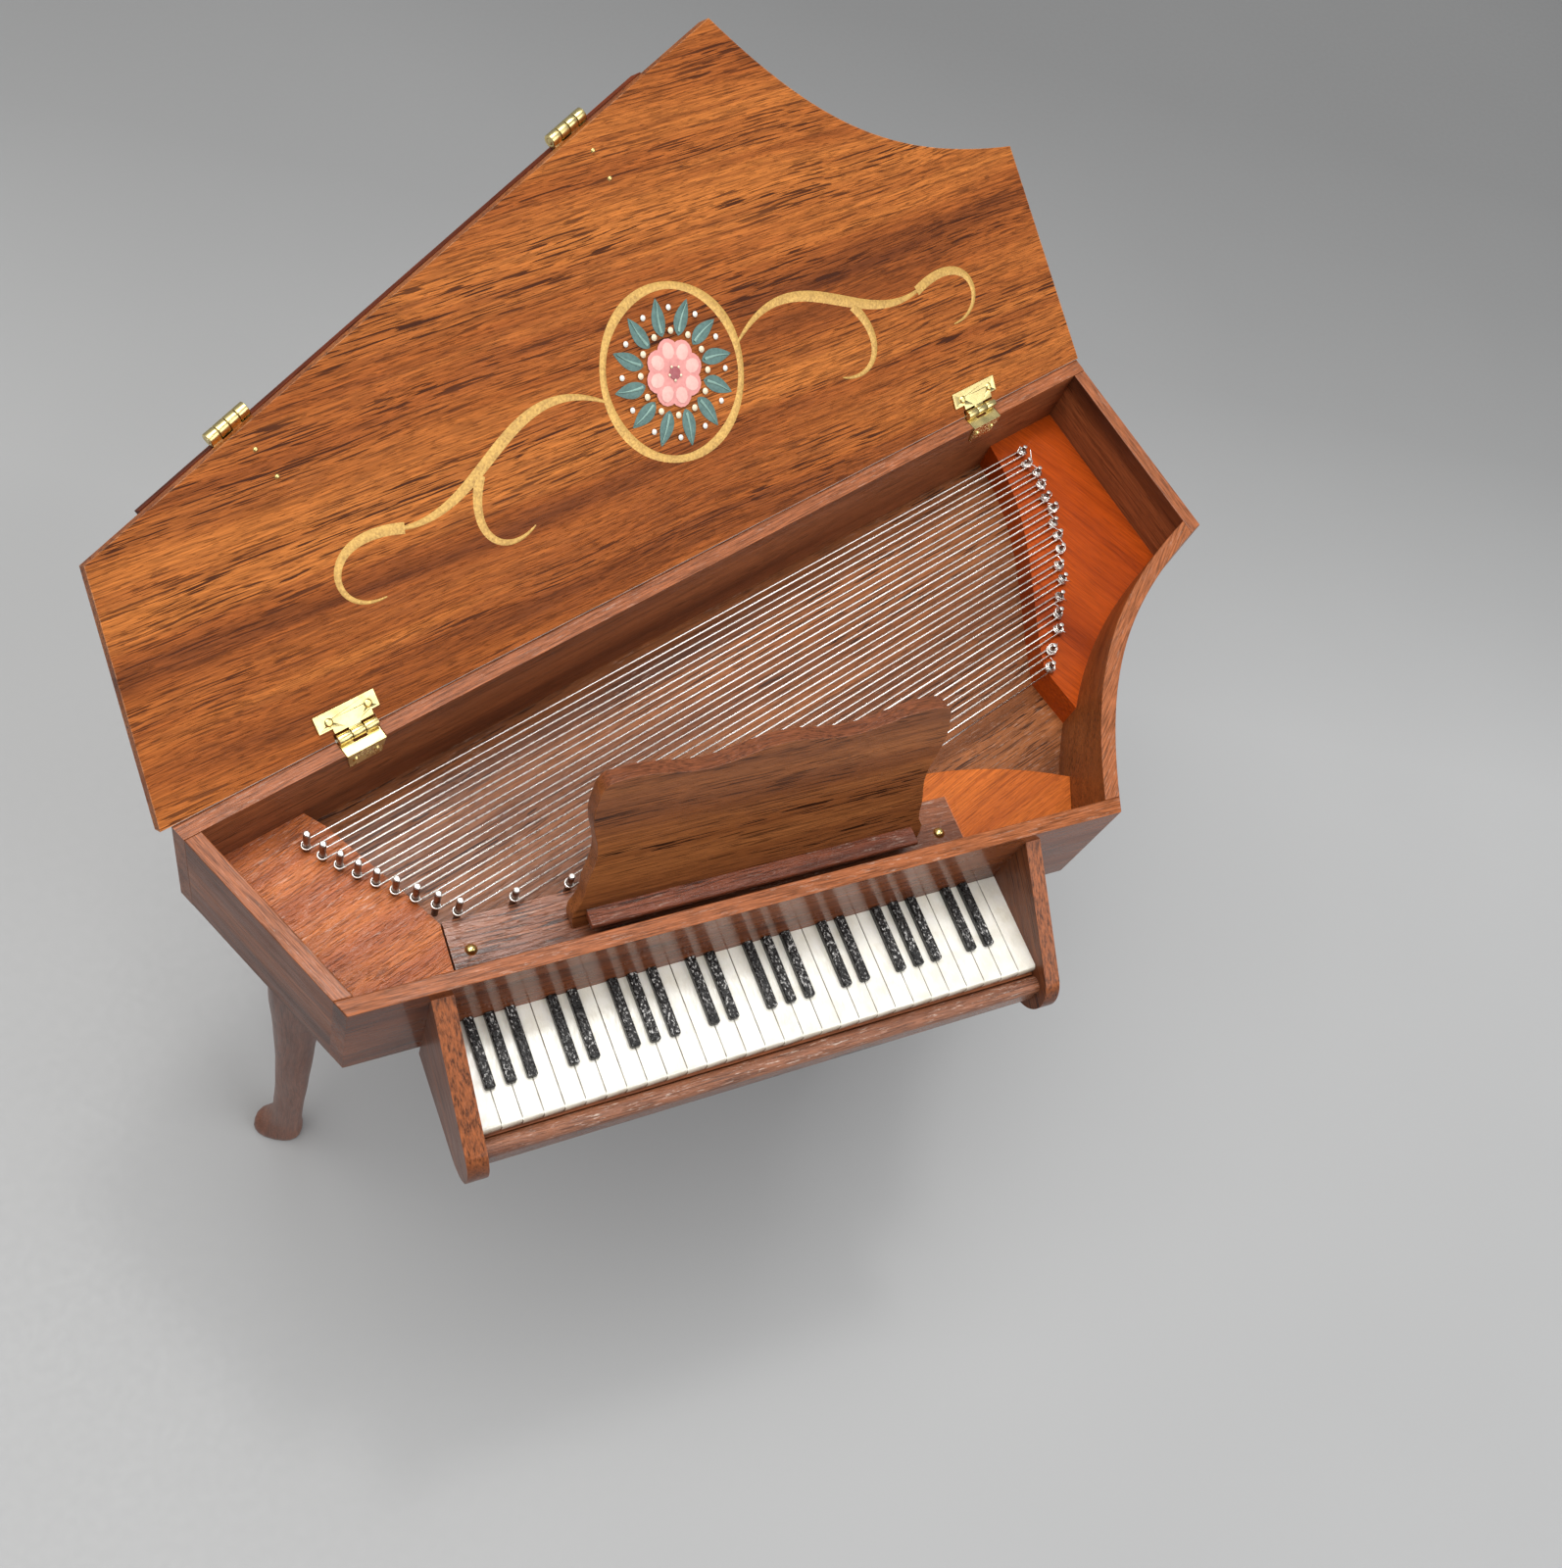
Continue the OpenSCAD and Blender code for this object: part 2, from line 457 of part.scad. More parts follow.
module lid_leaf_nails() color(brass) opened() for (h = spine_hinges, dx = [-2.1, 1.87]) spine_frame()
  translate([h + dx, -hq - u(0.93), lid_z - leaf_t]) {
    cylinder(r = 0.15, h = 1.3, $fn = 24);
    translate([0, 0, -0.15]) cylinder(r1 = 0.26, r2 = 0.42, h = 0.15, $fn = 32);
  }

// flap hinges: four knuckles, alternately on the lid and the flap
fbarrel = u(2.2);
fk = (fbarrel - 0.24)/4;
fr = 0.625;
module flap_knuckle(i, bore) translate([-fbarrel/2 + i*(fk + 0.08), fy, fz]) rotate([0, 90, 0]) difference() {
  cylinder(r = fr, h = fk, $fn = 40);
  translate([0, 0, -1]) cylinder(r = bore, h = fk + 2, $fn = 32);
}
flap_pin_r = 0.3;
module flap_leaf(z0, y1, ks, bore, nails) for (x = flap_hinges) translate([x, 0, 0]) difference() {
  union() {
    for (i = ks) flap_knuckle(i, bore);
    for (i = ks) translate([-fbarrel/2 + i*(fk + 0.08), fy + 0.42, z0]) cube([fk, 0.7, leaf_t]);
    translate([-fbarrel/2, 0.07, z0]) cube([fbarrel, y1 - 0.07, leaf_t]);
  }
  for (n = nails) translate([n[0], n[1], z0 - 1]) cylinder(r = 0.2, h = 2, $fn = 24);
}
module flap_hinge_lid_leaves() color(brass) opened()
  flap_leaf(top_z, u(2.95), [0, 2], flap_pin_r + 0.01, [[0, u(1)], [0, u(2.4)]]);
module flap_hinge_flap_leaves() color(brass) opened()
  flap_leaf(fz + flap_gap - leaf_t, 4.2, [1, 3], flap_pin_r + 0.05, [[-1.35, 2.9], [1.35, 2.9]]);
module flap_hinge_pins() color(brass) opened() for (x = flap_hinges)
  translate([x - fbarrel/2, fy, fz]) rotate([0, 90, 0]) cylinder(r = flap_pin_r, h = fbarrel, $fn = 32);
module lid_flap_nails() color(brass) opened() for (x = flap_hinges, y = [u(1), u(2.4)]) translate([x, y, 0]) {
  translate([0, 0, lid_z]) cylinder(r = 0.18, h = top_z - lid_z + leaf_t, $fn = 24);
  // point bent flush on the inner face
  translate([0, 0, lid_z - 0.16]) cylinder(r1 = 0.1, r2 = 0.18, h = 0.16, $fn = 24);
  translate([0, 0, top_z + leaf_t]) cylinder(r1 = 0.36, r2 = 0.28, h = 0.1, $fn = 32);
}
module flap_nails() color(brass) opened() for (x = flap_hinges, dx = [-1.35, 1.35]) translate([x + dx, 2.9, 0]) {
  translate([0, 0, fz + flap_gap - leaf_t]) cylinder(r = 0.18, h = leaf_t + 1.1, $fn = 24);
  translate([0, 0, fz + flap_gap - leaf_t - 0.1]) cylinder(r1 = 0.28, r2 = 0.36, h = 0.1, $fn = 32);
}

placed() bottom_board();
placed() soundboard();
placed() spine();
placed() left_wall();
placed() front_wall();
placed() bentside();
placed() tail_wall();
placed() wrest_plank();
placed() front_plank();
placed() plank_nails();
placed() treble_board();
placed() hitchpin_block();
placed() tuning_pins();
placed() hitch_pins();
placed() strings();
placed() keybed();
placed() natural_keys();
placed() sharp_keys();
placed() key_slip();
placed() key_cheek_left();
placed() key_cheek_right();
placed() desk_panel();
placed() desk_ledge();
placed() desk_lugs();
placed() desk_brackets();
placed() desk_pivot_pins();
placed() leg_left();
placed() leg_right();
placed() leg_tail();
placed() leg_spine();
placed() main_lid();
placed() keyboard_flap();
placed() lid_hinge_case_leaves();
placed() lid_hinge_pins();
placed() case_leaf_nails();
placed() lid_hinge_lid_leaves();
placed() lid_leaf_nails();
placed() flap_hinge_lid_leaves();
placed() flap_hinge_flap_leaves();
placed() flap_hinge_pins();
placed() lid_flap_nails();
placed() flap_nails();
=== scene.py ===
import bpy, bmesh, math, random
from mathutils import Vector, Matrix, Euler


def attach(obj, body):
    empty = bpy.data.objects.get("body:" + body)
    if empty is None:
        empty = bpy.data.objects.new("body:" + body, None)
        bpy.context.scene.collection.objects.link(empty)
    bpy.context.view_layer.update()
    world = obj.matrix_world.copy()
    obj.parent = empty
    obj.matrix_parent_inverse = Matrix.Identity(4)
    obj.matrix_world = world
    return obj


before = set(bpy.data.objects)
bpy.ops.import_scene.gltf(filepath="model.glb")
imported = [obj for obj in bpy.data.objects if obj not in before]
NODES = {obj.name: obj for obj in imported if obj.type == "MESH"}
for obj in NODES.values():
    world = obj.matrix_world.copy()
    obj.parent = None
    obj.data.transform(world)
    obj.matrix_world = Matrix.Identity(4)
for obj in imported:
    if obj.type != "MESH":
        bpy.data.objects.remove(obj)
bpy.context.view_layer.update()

random.seed(7)

# ------------------------------------------------------------------ measures
K = 1.96e-3                                  # one key pitch, metres
T = 1.59e-3                                  # wall stock
ORG = Vector((-45.3018e-3, -30.8473e-3, 69.37e-3))
PA = Vector((-4.748 * K, 10.278 * K)); PS = Vector((50.164 * K, 27.073 * K))
E = (PS - PA).normalized(); N = Vector((E.y, -E.x))
ANG = math.atan2(E.y, E.x)
HQ, HZ = 0.2e-3, 0.4e-3
LID_Z = 0.55e-3


def P(x, y, z=0.0):
    """point in key pitches over the case's front left rim corner, to the row frame"""
    return ORG + Vector((x * K, y * K, z * K))


def SP(a, q, z=0.0):
    """a along the spine and q inward in key pitches, z in metres over the rim"""
    v = PA + E * (a * K) + N * (q * K)
    return ORG + Vector((v.x, v.y, z))


# closed lid to open lid, row frame
_A = Matrix.Translation(ORG + Vector((PA.x, PA.y, 0))) @ Matrix.Rotation(ANG, 4, "Z")
OPEN = _A @ Matrix.Translation((0, -HQ, HZ)) @ Matrix.Rotation(math.radians(-139.5), 4, "X") @ Matrix.Translation((0, HQ, -HZ)) @ _A.inverted()


def lid_pt(a, b, up=0.0):
    """point on the open lid's inner face: a along the spine, b from the hinge, up off the face"""
    return OPEN @ SP(a, b, LID_Z - up)


# ------------------------------------------------------------------ node helpers
class G:
    def __init__(self, name):
        self.m = bpy.data.materials.new(name)
        self.m.use_nodes = True
        self.t = self.m.node_tree
        self.t.nodes.clear()
        self.out = self.n("ShaderNodeOutputMaterial")

    def n(self, kind, **kw):
        nd = self.t.nodes.new(kind)
        for k, v in kw.items():
            setattr(nd, k, v)
        return nd

    def put(self, sock, v):
        if isinstance(v, bpy.types.NodeSocket):
            self.t.links.new(v, sock)
        elif v is not None:
            if sock.type == "RGBA" and len(v) == 3:
                v = (*v, 1.0)
            sock.default_value = v

    def coords(self, rot=(0, 0, 0), scale=(1000, 1000, 1000), loc=(0, 0, 0), src=None):
        if src is None:
            src = self.n("ShaderNodeTexCoord").outputs["Object"]
        mp = self.n("ShaderNodeMapping")
        self.put(mp.inputs["Vector"], src)
        mp.inputs["Rotation"].default_value = rot
        mp.inputs["Scale"].default_value = scale
        mp.inputs["Location"].default_value = loc
        return mp.outputs["Vector"]

    def noise(self, vec, scale=1.0, detail=2.0, rough=0.5, dist=0.0, lac=2.0):
        nd = self.n("ShaderNodeTexNoise")
        self.put(nd.inputs["Vector"], vec)
        nd.inputs["Scale"].default_value = scale
        nd.inputs["Detail"].default_value = detail
        nd.inputs["Roughness"].default_value = rough
        nd.inputs["Distortion"].default_value = dist
        nd.inputs["Lacunarity"].default_value = lac
        return nd.outputs["Fac"]

    def ramp(self, fac, stops, interp="LINEAR"):
        nd = self.n("ShaderNodeValToRGB")
        nd.color_ramp.interpolation = interp
        el = nd.color_ramp.elements
        while len(el) > 1:
            el.remove(el[-1])
        el[0].position = stops[0][0]
        c = stops[0][1]
        el[0].color = (*c, 1) if hasattr(c, "__len__") else (c, c, c, 1)
        for p, c in stops[1:]:
            e = el.new(p)
            e.color = (*c, 1) if hasattr(c, "__len__") else (c, c, c, 1)
        self.put(nd.inputs["Fac"], fac)
        return nd.outputs["Color"]

    def math(self, op, a, b=None, c=None, clamp=False):
        nd = self.n("ShaderNodeMath", operation=op, use_clamp=clamp)
        self.put(nd.inputs[0], a)
        if b is not None:
            self.put(nd.inputs[1], b)
        if c is not None:
            self.put(nd.inputs[2], c)
        return nd.outputs[0]

    def mix(self, fac, a, b, mode="MIX"):
        nd = self.n("ShaderNodeMix", data_type="RGBA", blend_type=mode)
        self.put(nd.inputs[0], fac)
        self.put(nd.inputs[6], a)
        self.put(nd.inputs[7], b)
        return nd.outputs[2]

    def sep(self, vec):
        nd = self.n("ShaderNodeSeparateXYZ")
        self.put(nd.inputs[0], vec)
        return nd.outputs

    def range(self, v, a, b, c=0.0, d=1.0, smooth=True):
        nd = self.n("ShaderNodeMapRange")
        nd.interpolation_type = "SMOOTHSTEP" if smooth else "LINEAR"
        self.put(nd.inputs["Value"], v)
        nd.inputs["From Min"].default_value = a
        nd.inputs["From Max"].default_value = b
        nd.inputs["To Min"].default_value = c
        nd.inputs["To Max"].default_value = d
        return nd.outputs["Result"]

    def bump(self, height, strength=0.3, dist=0.0001, normal=None):
        nd = self.n("ShaderNodeBump")
        self.put(nd.inputs["Height"], height)
        nd.inputs["Strength"].default_value = strength
        nd.inputs["Distance"].default_value = dist
        if normal is not None:
            self.put(nd.inputs["Normal"], normal)
        return nd.outputs["Normal"]

    def edge(self, radius=0.00015):
        """1 on edges, 0 on flats"""
        bv = self.n("ShaderNodeBevel", samples=4)
        bv.inputs["Radius"].default_value = radius
        ge = self.n("ShaderNodeNewGeometry")
        d = self.n("ShaderNodeVectorMath", operation="DOT_PRODUCT")
        self.put(d.inputs[0], bv.outputs["Normal"])
        self.put(d.inputs[1], ge.outputs["Normal"])
        return self.range(d.outputs["Value"], 0.995, 0.86, 0.0, 1.0)

    def shade(self, color, rough, normal=None, metal=0.0, coat=0.0, coat_rough=0.1, spec=0.5, coat_normal=None, sheen=0.0, sss=0.0):
        b = self.n("ShaderNodeBsdfPrincipled")
        self.put(b.inputs["Base Color"], color)
        self.put(b.inputs["Roughness"], rough)
        self.put(b.inputs["Metallic"], metal)
        self.put(b.inputs["Specular IOR Level"], spec)
        self.put(b.inputs["Coat Weight"], coat)
        self.put(b.inputs["Coat Roughness"], coat_rough)
        if normal is not None:
            self.put(b.inputs["Normal"], normal)
        if coat_normal is not None:
            self.put(b.inputs["Coat Normal"], coat_normal)
        if sss:
            b.inputs["Subsurface Weight"].default_value = sss
            b.inputs["Subsurface Radius"].default_value = (0.0006, 0.0004, 0.0002)
        self.t.links.new(b.outputs["BSDF"], self.out.inputs["Surface"])
        return self.m


def euler_to(axis_x, up=(0, 0, 1)):
    """rotation that takes the row frame to one whose X is axis_x"""
    x = Vector(axis_x).normalized()
    z = Vector(up)
    z = (z - x * z.dot(x)).normalized()
    y = z.cross(x)
    m = Matrix((x, y, z))
    return tuple(m.to_euler())


def wood(name, light, mid, dark, grain=(1, 0, 0), up=(0, 0, 1), seed=0.0, band=1.0, dash=0.5, pore=0.5,
         rough=0.42, coat=0.07, coat_rough=0.2, spec=0.20, bumpy=0.25, edge=0.3, top=None, edge_col=None, curl=0.06, fine=0.6,
         sparkle=0.0, front_gloss=False, top_scale=(0.35, 7.0, 7.0), top_amt=(0.42, 0.90, 1.40), glint=0.0):
    """walnut-like wood: colour bands along the grain, dark dashes, pores, satin varnish, lighter edges (wear, and
    where raised a painted edge highlight), painted highlight specks on upward faces
    """
    g = G(name)
    v = g.coords(rot=euler_to(grain, up), loc=(seed * 17.3, seed * 9.1, seed * 5.7))
    # slow wander of the grain
    wander = g.noise(g.coords(src=v, scale=(0.03, 0.05, 0.05)), 1.0, 2.0, 0.5)
    off = g.n("ShaderNodeVectorMath", operation="MULTIPLY_ADD")
    cmb = g.n("ShaderNodeCombineXYZ")
    g.put(cmb.inputs[1], wander); g.put(cmb.inputs[2], wander)
    g.put(off.inputs[0], cmb.outputs[0]); off.inputs[1].default_value = (0, 36.0 * curl, 36.0 * curl); g.put(off.inputs[2], v)
    w = off.outputs["Vector"]
    bands = g.noise(g.coords(src=w, scale=(0.010, 0.20 * band, 0.20 * band)), 1.0, 3.0, 0.55, 0.2)
    lines = g.noise(g.coords(src=w, scale=(0.018, 1.5 * band, 1.5 * band), loc=(7, 3, 1)), 1.0, 4.0, 0.65, 0.1)
    fib = g.noise(g.coords(src=w, scale=(0.30, 8.0, 8.0)), 1.0, 2.0, 0.6)
    col = g.ramp(bands, [(0.27, dark), (0.43, mid), (0.62, light)])
    ln = g.ramp(lines, [(0.34, 0.0), (0.54, 1.0)])
    col = g.mix(g.math("MULTIPLY", g.math("SUBTRACT", 1.0, ln), 0.60), col, tuple(d * 0.45 + m * 0.55 for d, m in zip(dark, mid)))
    fibc = g.ramp(fib, [(0.34, 0.62), (0.66, 1.26)])
    col = g.mix(fine, col, g.mix(1.0, col, fibc, "MULTIPLY"))
    # dark dashes: long pores cut along the grain
    dn = g.noise(g.coords(src=w, scale=(0.20, 5.6, 5.6), loc=(31, 7, 3)), 1.0, 1.0, 0.5)
    dm = g.ramp(dn, [(0.605 - 0.03 * dash, 0.0), (0.645 - 0.03 * dash, 1.0)])
    area = g.ramp(g.noise(g.coords(src=w, scale=(0.03, 0.30, 0.30), loc=(5, 2, 9)), 1.0, 2.0, 0.5), [(0.36, 0.12), (0.62, 1.0)])
    dm = g.math("MULTIPLY", g.math("MULTIPLY", dm, area), min(1.0, 0.35 + dash * 0.6))
    col = g.mix(dm, col, tuple(c * 0.5 for c in dark))
    pn = g.noise(g.coords(src=w, scale=(0.8, 9.0, 9.0), loc=(3, 41, 3)), 1.0, 1.0, 0.5)
    pm = g.ramp(pn, [(0.60, 0.0), (0.68, 1.0)])
    pm = g.math("MULTIPLY", pm, pore)
    col = g.mix(g.math("MULTIPLY", pm, 0.6), col, tuple(c * 0.6 for c in dark))
    ro = g.range(g.noise(g.coords(src=v, scale=(0.12, 0.5, 0.5)), 1.0, 3.0, 0.6), 0.3, 0.7, rough - 0.06, rough + 0.08, False)
    h = g.math("SUBTRACT", g.math("MULTIPLY", fib, 0.35), g.math("MULTIPLY", g.math("MAXIMUM", pm, dm), 0.9))
    cell = None
    if sparkle:
        sp = g.noise(g.coords(src=v, scale=(3.0, 6.5, 6.5)), 1.0, 3.0, 0.7)
        h = g.math("MULTIPLY_ADD", sp, sparkle, h)
    nm = g.bump(h, bumpy, 0.00008)
    if top is not None:
        # raw, paler grain on upward faces near this height
        hz, tcol, depth = top
        ge = g.n("ShaderNodeNewGeometry")
        nz = g.sep(ge.outputs["Normal"])[2]
        oz = g.sep(g.n("ShaderNodeTexCoord").outputs["Object"])[2]
        msk = g.math("MULTIPLY", g.range(nz, 0.45, 0.8), g.range(oz, hz - depth, hz - depth * 0.3))
        spk = g.ramp(g.noise(g.coords(src=v, scale=top_scale, loc=(9, 9, 9)), 1.0, 3.0, 0.7), [(0.36, top_amt[0]), (0.5, top_amt[1]), (0.66, top_amt[2])])
        col = g.mix(g.math("MULTIPLY", msk, 0.85), col, g.mix(1.0, tcol, spk, "MULTIPLY"))
    if glint:
        # painted highlight: pale specks coloured onto upward faces, standing in for glints of the lamps on the
        # varnish
        gn = g.noise(g.coords(src=v, scale=(0.55, 4.4, 4.4), loc=(13, 2, 8)), 1.0, 4.0, 0.78)
        ga = g.noise(g.coords(src=v, scale=(0.11, 0.15, 0.15), loc=(1, 4, 2)), 1.0, 2.0, 0.5)
        gz = g.range(g.sep(g.n("ShaderNodeNewGeometry").outputs["Normal"])[2], 0.25, 0.8)
        painted_glint_mask = g.math("MULTIPLY", g.math("MULTIPLY", g.ramp(gn, [(0.565, 0.0), (0.66, 1.0)]), g.ramp(ga, [(0.38, 0.10), (0.62, 1.0)])), gz)
        col = g.mix(g.math("MULTIPLY", painted_glint_mask, glint), col, (0.80, 0.66, 0.55))
    # lighter colour on the edges: partly wear, partly a painted highlight along the edges, strongest on the lid
    if edge:
        ec = edge_col or tuple(min(1.0, c * 1.5 + 0.03) for c in light)
        ef = g.math("MULTIPLY", g.edge(), g.ramp(g.noise(g.coords(src=v, scale=(0.5, 1.4, 1.4)), 1.0, 3.0, 0.7), [(0.35, 0.1), (0.65, 1.0)]))
        col = g.mix(g.math("MULTIPLY", ef, edge), col, ec)
    if front_gloss:
        # the polished outer face only, not the ends
        ny = g.sep(g.n("ShaderNodeNewGeometry").outputs["Normal"])[1]
        coat = g.math("MULTIPLY", g.range(ny, -0.85, -0.97), coat)
    return g.shade(col, ro, nm, coat=coat, coat_rough=coat_rough, spec=spec, coat_normal=g.bump(g.math("MULTIPLY", h, 1.0), bumpy * 0.55, 0.00008))


def metal(name, color, dull, rough=0.25, scale=1.0, wear=0.4, bumpy=0.15):
    g = G(name)
    v = g.coords()
    a = g.noise(g.coords(src=v, scale=(1.3, 1.3, 1.3)), scale, 4.0, 0.6)
    b = g.noise(g.coords(src=v, scale=(9, 9, 9)), scale, 2.0, 0.6)
    col = g.mix(g.ramp(a, [(0.42, 0.0), (0.72, wear)]), color, dull)
    col = g.mix(g.math("MULTIPLY", g.edge(0.00006), 0.3), col, tuple(min(1, c * 1.15) for c in color))
    ro = g.range(a, 0.3, 0.75, rough - 0.08, rough + 0.16, False)
    return g.shade(col, ro, g.bump(g.math("ADD", g.math("MULTIPLY", a, 0.9), g.math("MULTIPLY", b, 0.1)), bumpy, 0.00004), metal=1.0)


def ivory(name):
    g = G(name)
    v = g.coords()
    tc = g.sep(g.n("ShaderNodeTexCoord").outputs["Object"])
    nz = g.sep(g.n("ShaderNodeNewGeometry").outputs["Normal"])
    a = g.noise(g.coords(src=v, scale=(0.5, 0.5, 0.5)), 1.0, 4.0, 0.55)
    b = g.noise(g.coords(src=v, scale=(3.2, 1.1, 3.2)), 1.0, 3.0, 0.6)
    col = g.ramp(a, [(0.3, (0.70, 0.665, 0.57)), (0.5, (0.78, 0.755, 0.675)), (0.72, (0.84, 0.82, 0.76))])
    col = g.mix(g.ramp(b, [(0.56, 0.0), (0.76, 0.30)]), col, (0.66, 0.60, 0.47))
    # scored lines: their sunken side faces are coloured dark
    top = (69.37 - 4.672 * 1.96) * 1e-3
    low = g.range(tc[2], top - 0.00001, top - 0.00007)
    slope = g.range(g.math("ABSOLUTE", nz[0]), 0.3, 0.5)
    msk = g.math("MULTIPLY", low, slope)
    line = g.ramp(g.noise(g.coords(src=v, scale=(1.0, 0.5, 1.0)), 1.0, 2.0, 0.6), [(0.35, 0.55), (0.6, 0.95)])
    col = g.mix(g.math("MULTIPLY", msk, line), col, (0.16, 0.135, 0.11))
    col = g.mix(g.math("MULTIPLY", g.range(nz[1], -0.5, -0.9), 0.55), col, (0.42, 0.33, 0.22))
    ro = g.range(b, 0.3, 0.7, 0.16, 0.34, False)
    return g.shade(col, ro, g.bump(g.math("MULTIPLY_ADD", a, 0.5, b), 0.30, 0.00012), coat=0.5, coat_rough=0.14, coat_normal=g.bump(g.math("MULTIPLY_ADD", a, 0.5, b), 0.45, 0.00012), sss=0.05)


def black_paint(name):
    g = G(name)
    v = g.coords()
    a = g.noise(g.coords(src=v, scale=(4.0, 3.0, 4.0)), 1.0, 3.0, 0.65)
    b = g.noise(g.coords(src=v, scale=(1.0, 1.0, 1.0)), 1.0, 3.0, 0.5)
    col = g.ramp(b, [(0.35, (0.003, 0.003, 0.003)), (0.7, (0.009, 0.008, 0.008))])
    col = g.mix(g.math("MULTIPLY", g.edge(0.0001), 0.12), col, (0.05, 0.04, 0.035))
    c = g.noise(g.coords(src=v, scale=(7.0, 5.0, 7.0)), 1.0, 2.0, 0.6)
    # painted highlight: pale specks coloured onto the upward faces, standing in for glints on the black paint
    nz = g.sep(g.n("ShaderNodeNewGeometry").outputs["Normal"])[2]
    sp = g.noise(g.coords(src=v, scale=(4.6, 2.6, 4.6), loc=(2, 6, 1)), 1.0, 4.0, 0.75)
    ar = g.noise(g.coords(src=v, scale=(0.30, 0.22, 0.3), loc=(8, 3, 2)), 1.0, 1.0, 0.5)
    painted_glint_specks = g.math("MULTIPLY", g.math("MULTIPLY", g.ramp(sp, [(0.555, 0.0), (0.60, 1.0)]), g.ramp(ar, [(0.36, 0.25), (0.55, 1.0)])), g.range(nz, 0.4, 0.75))
    col = g.mix(g.math("MULTIPLY", painted_glint_specks, 0.85), col, (0.62, 0.61, 0.59))
    h = g.math("ADD", g.math("MULTIPLY", a, 1.0), g.math("MULTIPLY_ADD", c, 0.35, g.math("MULTIPLY", b, 0.4)))
    return g.shade(col, g.range(a, 0.3, 0.7, 0.10, 0.22, False), g.bump(h, 1.0, 0.00012), coat=0.22, coat_rough=0.10, coat_normal=g.bump(h, 1.0, 0.00012), spec=0.22)


def paint(name, color, dark, rough=0.5, metal_=0.0, streak=0.4, bumpy=0.3, scale=3.0):
    g = G(name)
    v = g.coords()
    a = g.noise(g.coords(src=v, scale=(scale, scale, scale)), 1.0, 4.0, 0.6)
    b = g.noise(g.coords(src=v, scale=(0.8, 0.8, 0.8)), 1.0, 2.0, 0.5)
    col = g.mix(g.ramp(a, [(0.35, 0.0), (0.7, streak)]), color, dark)
    col = g.mix(g.ramp(b, [(0.4, 0.0), (0.7, 0.35)]), col, tuple(min(1, c * 1.25) for c in color))
    return g.shade(col, g.range(a, 0.3, 0.7, rough - 0.1, rough + 0.1, False), g.bump(a, bumpy, 0.00006), metal=metal_, coat=0.2, coat_rough=0.3)


# ------------------------------------------------------------------ CAD nodes: soft edges and finishes
def finish_node(name, mat, bevel=0.00012, seg=2, smooth_angle=32, subdiv=0):
    o = NODES[name]
    o.data.materials.clear()
    o.data.materials.append(mat)
    for p in o.data.polygons:
        p.use_smooth = True
    w = o.modifiers.new("weld", "WELD"); w.merge_threshold = 1e-6
    if bevel:
        b = o.modifiers.new("bevel", "BEVEL")
        b.width = bevel; b.segments = seg; b.limit_method = "ANGLE"; b.angle_limit = math.radians(smooth_angle)
        b.harden_normals = False; b.use_clamp_overlap = True
    if subdiv:
        s = o.modifiers.new("sub", "SUBSURF"); s.levels = subdiv; s.render_levels = subdiv
    n = o.modifiers.new("wn", "WEIGHTED_NORMAL"); n.keep_sharp = True; n.weight = 60
    return o


X = (1, 0, 0)
SPD = (E.x, E.y, 0)
BSIDE = (0.72, 0.69, 0)
RIM = 69.37e-3
RIM_COL = (0.33, 0.108, 0.042)
RIM_TOP = (RIM, RIM_COL, 0.0004)
L_, M_, D_ = (0.31, 0.10, 0.036), (0.18, 0.054, 0.020), (0.05, 0.015, 0.008)

OPENR = OPEN.to_3x3()
lid_grain = OPENR @ Vector((math.cos(ANG + 0.05), math.sin(ANG + 0.05), 0))
lid_up = OPENR @ Vector((0, 0, 1))
flap_grain = OPENR @ Vector((1, 0, 0))
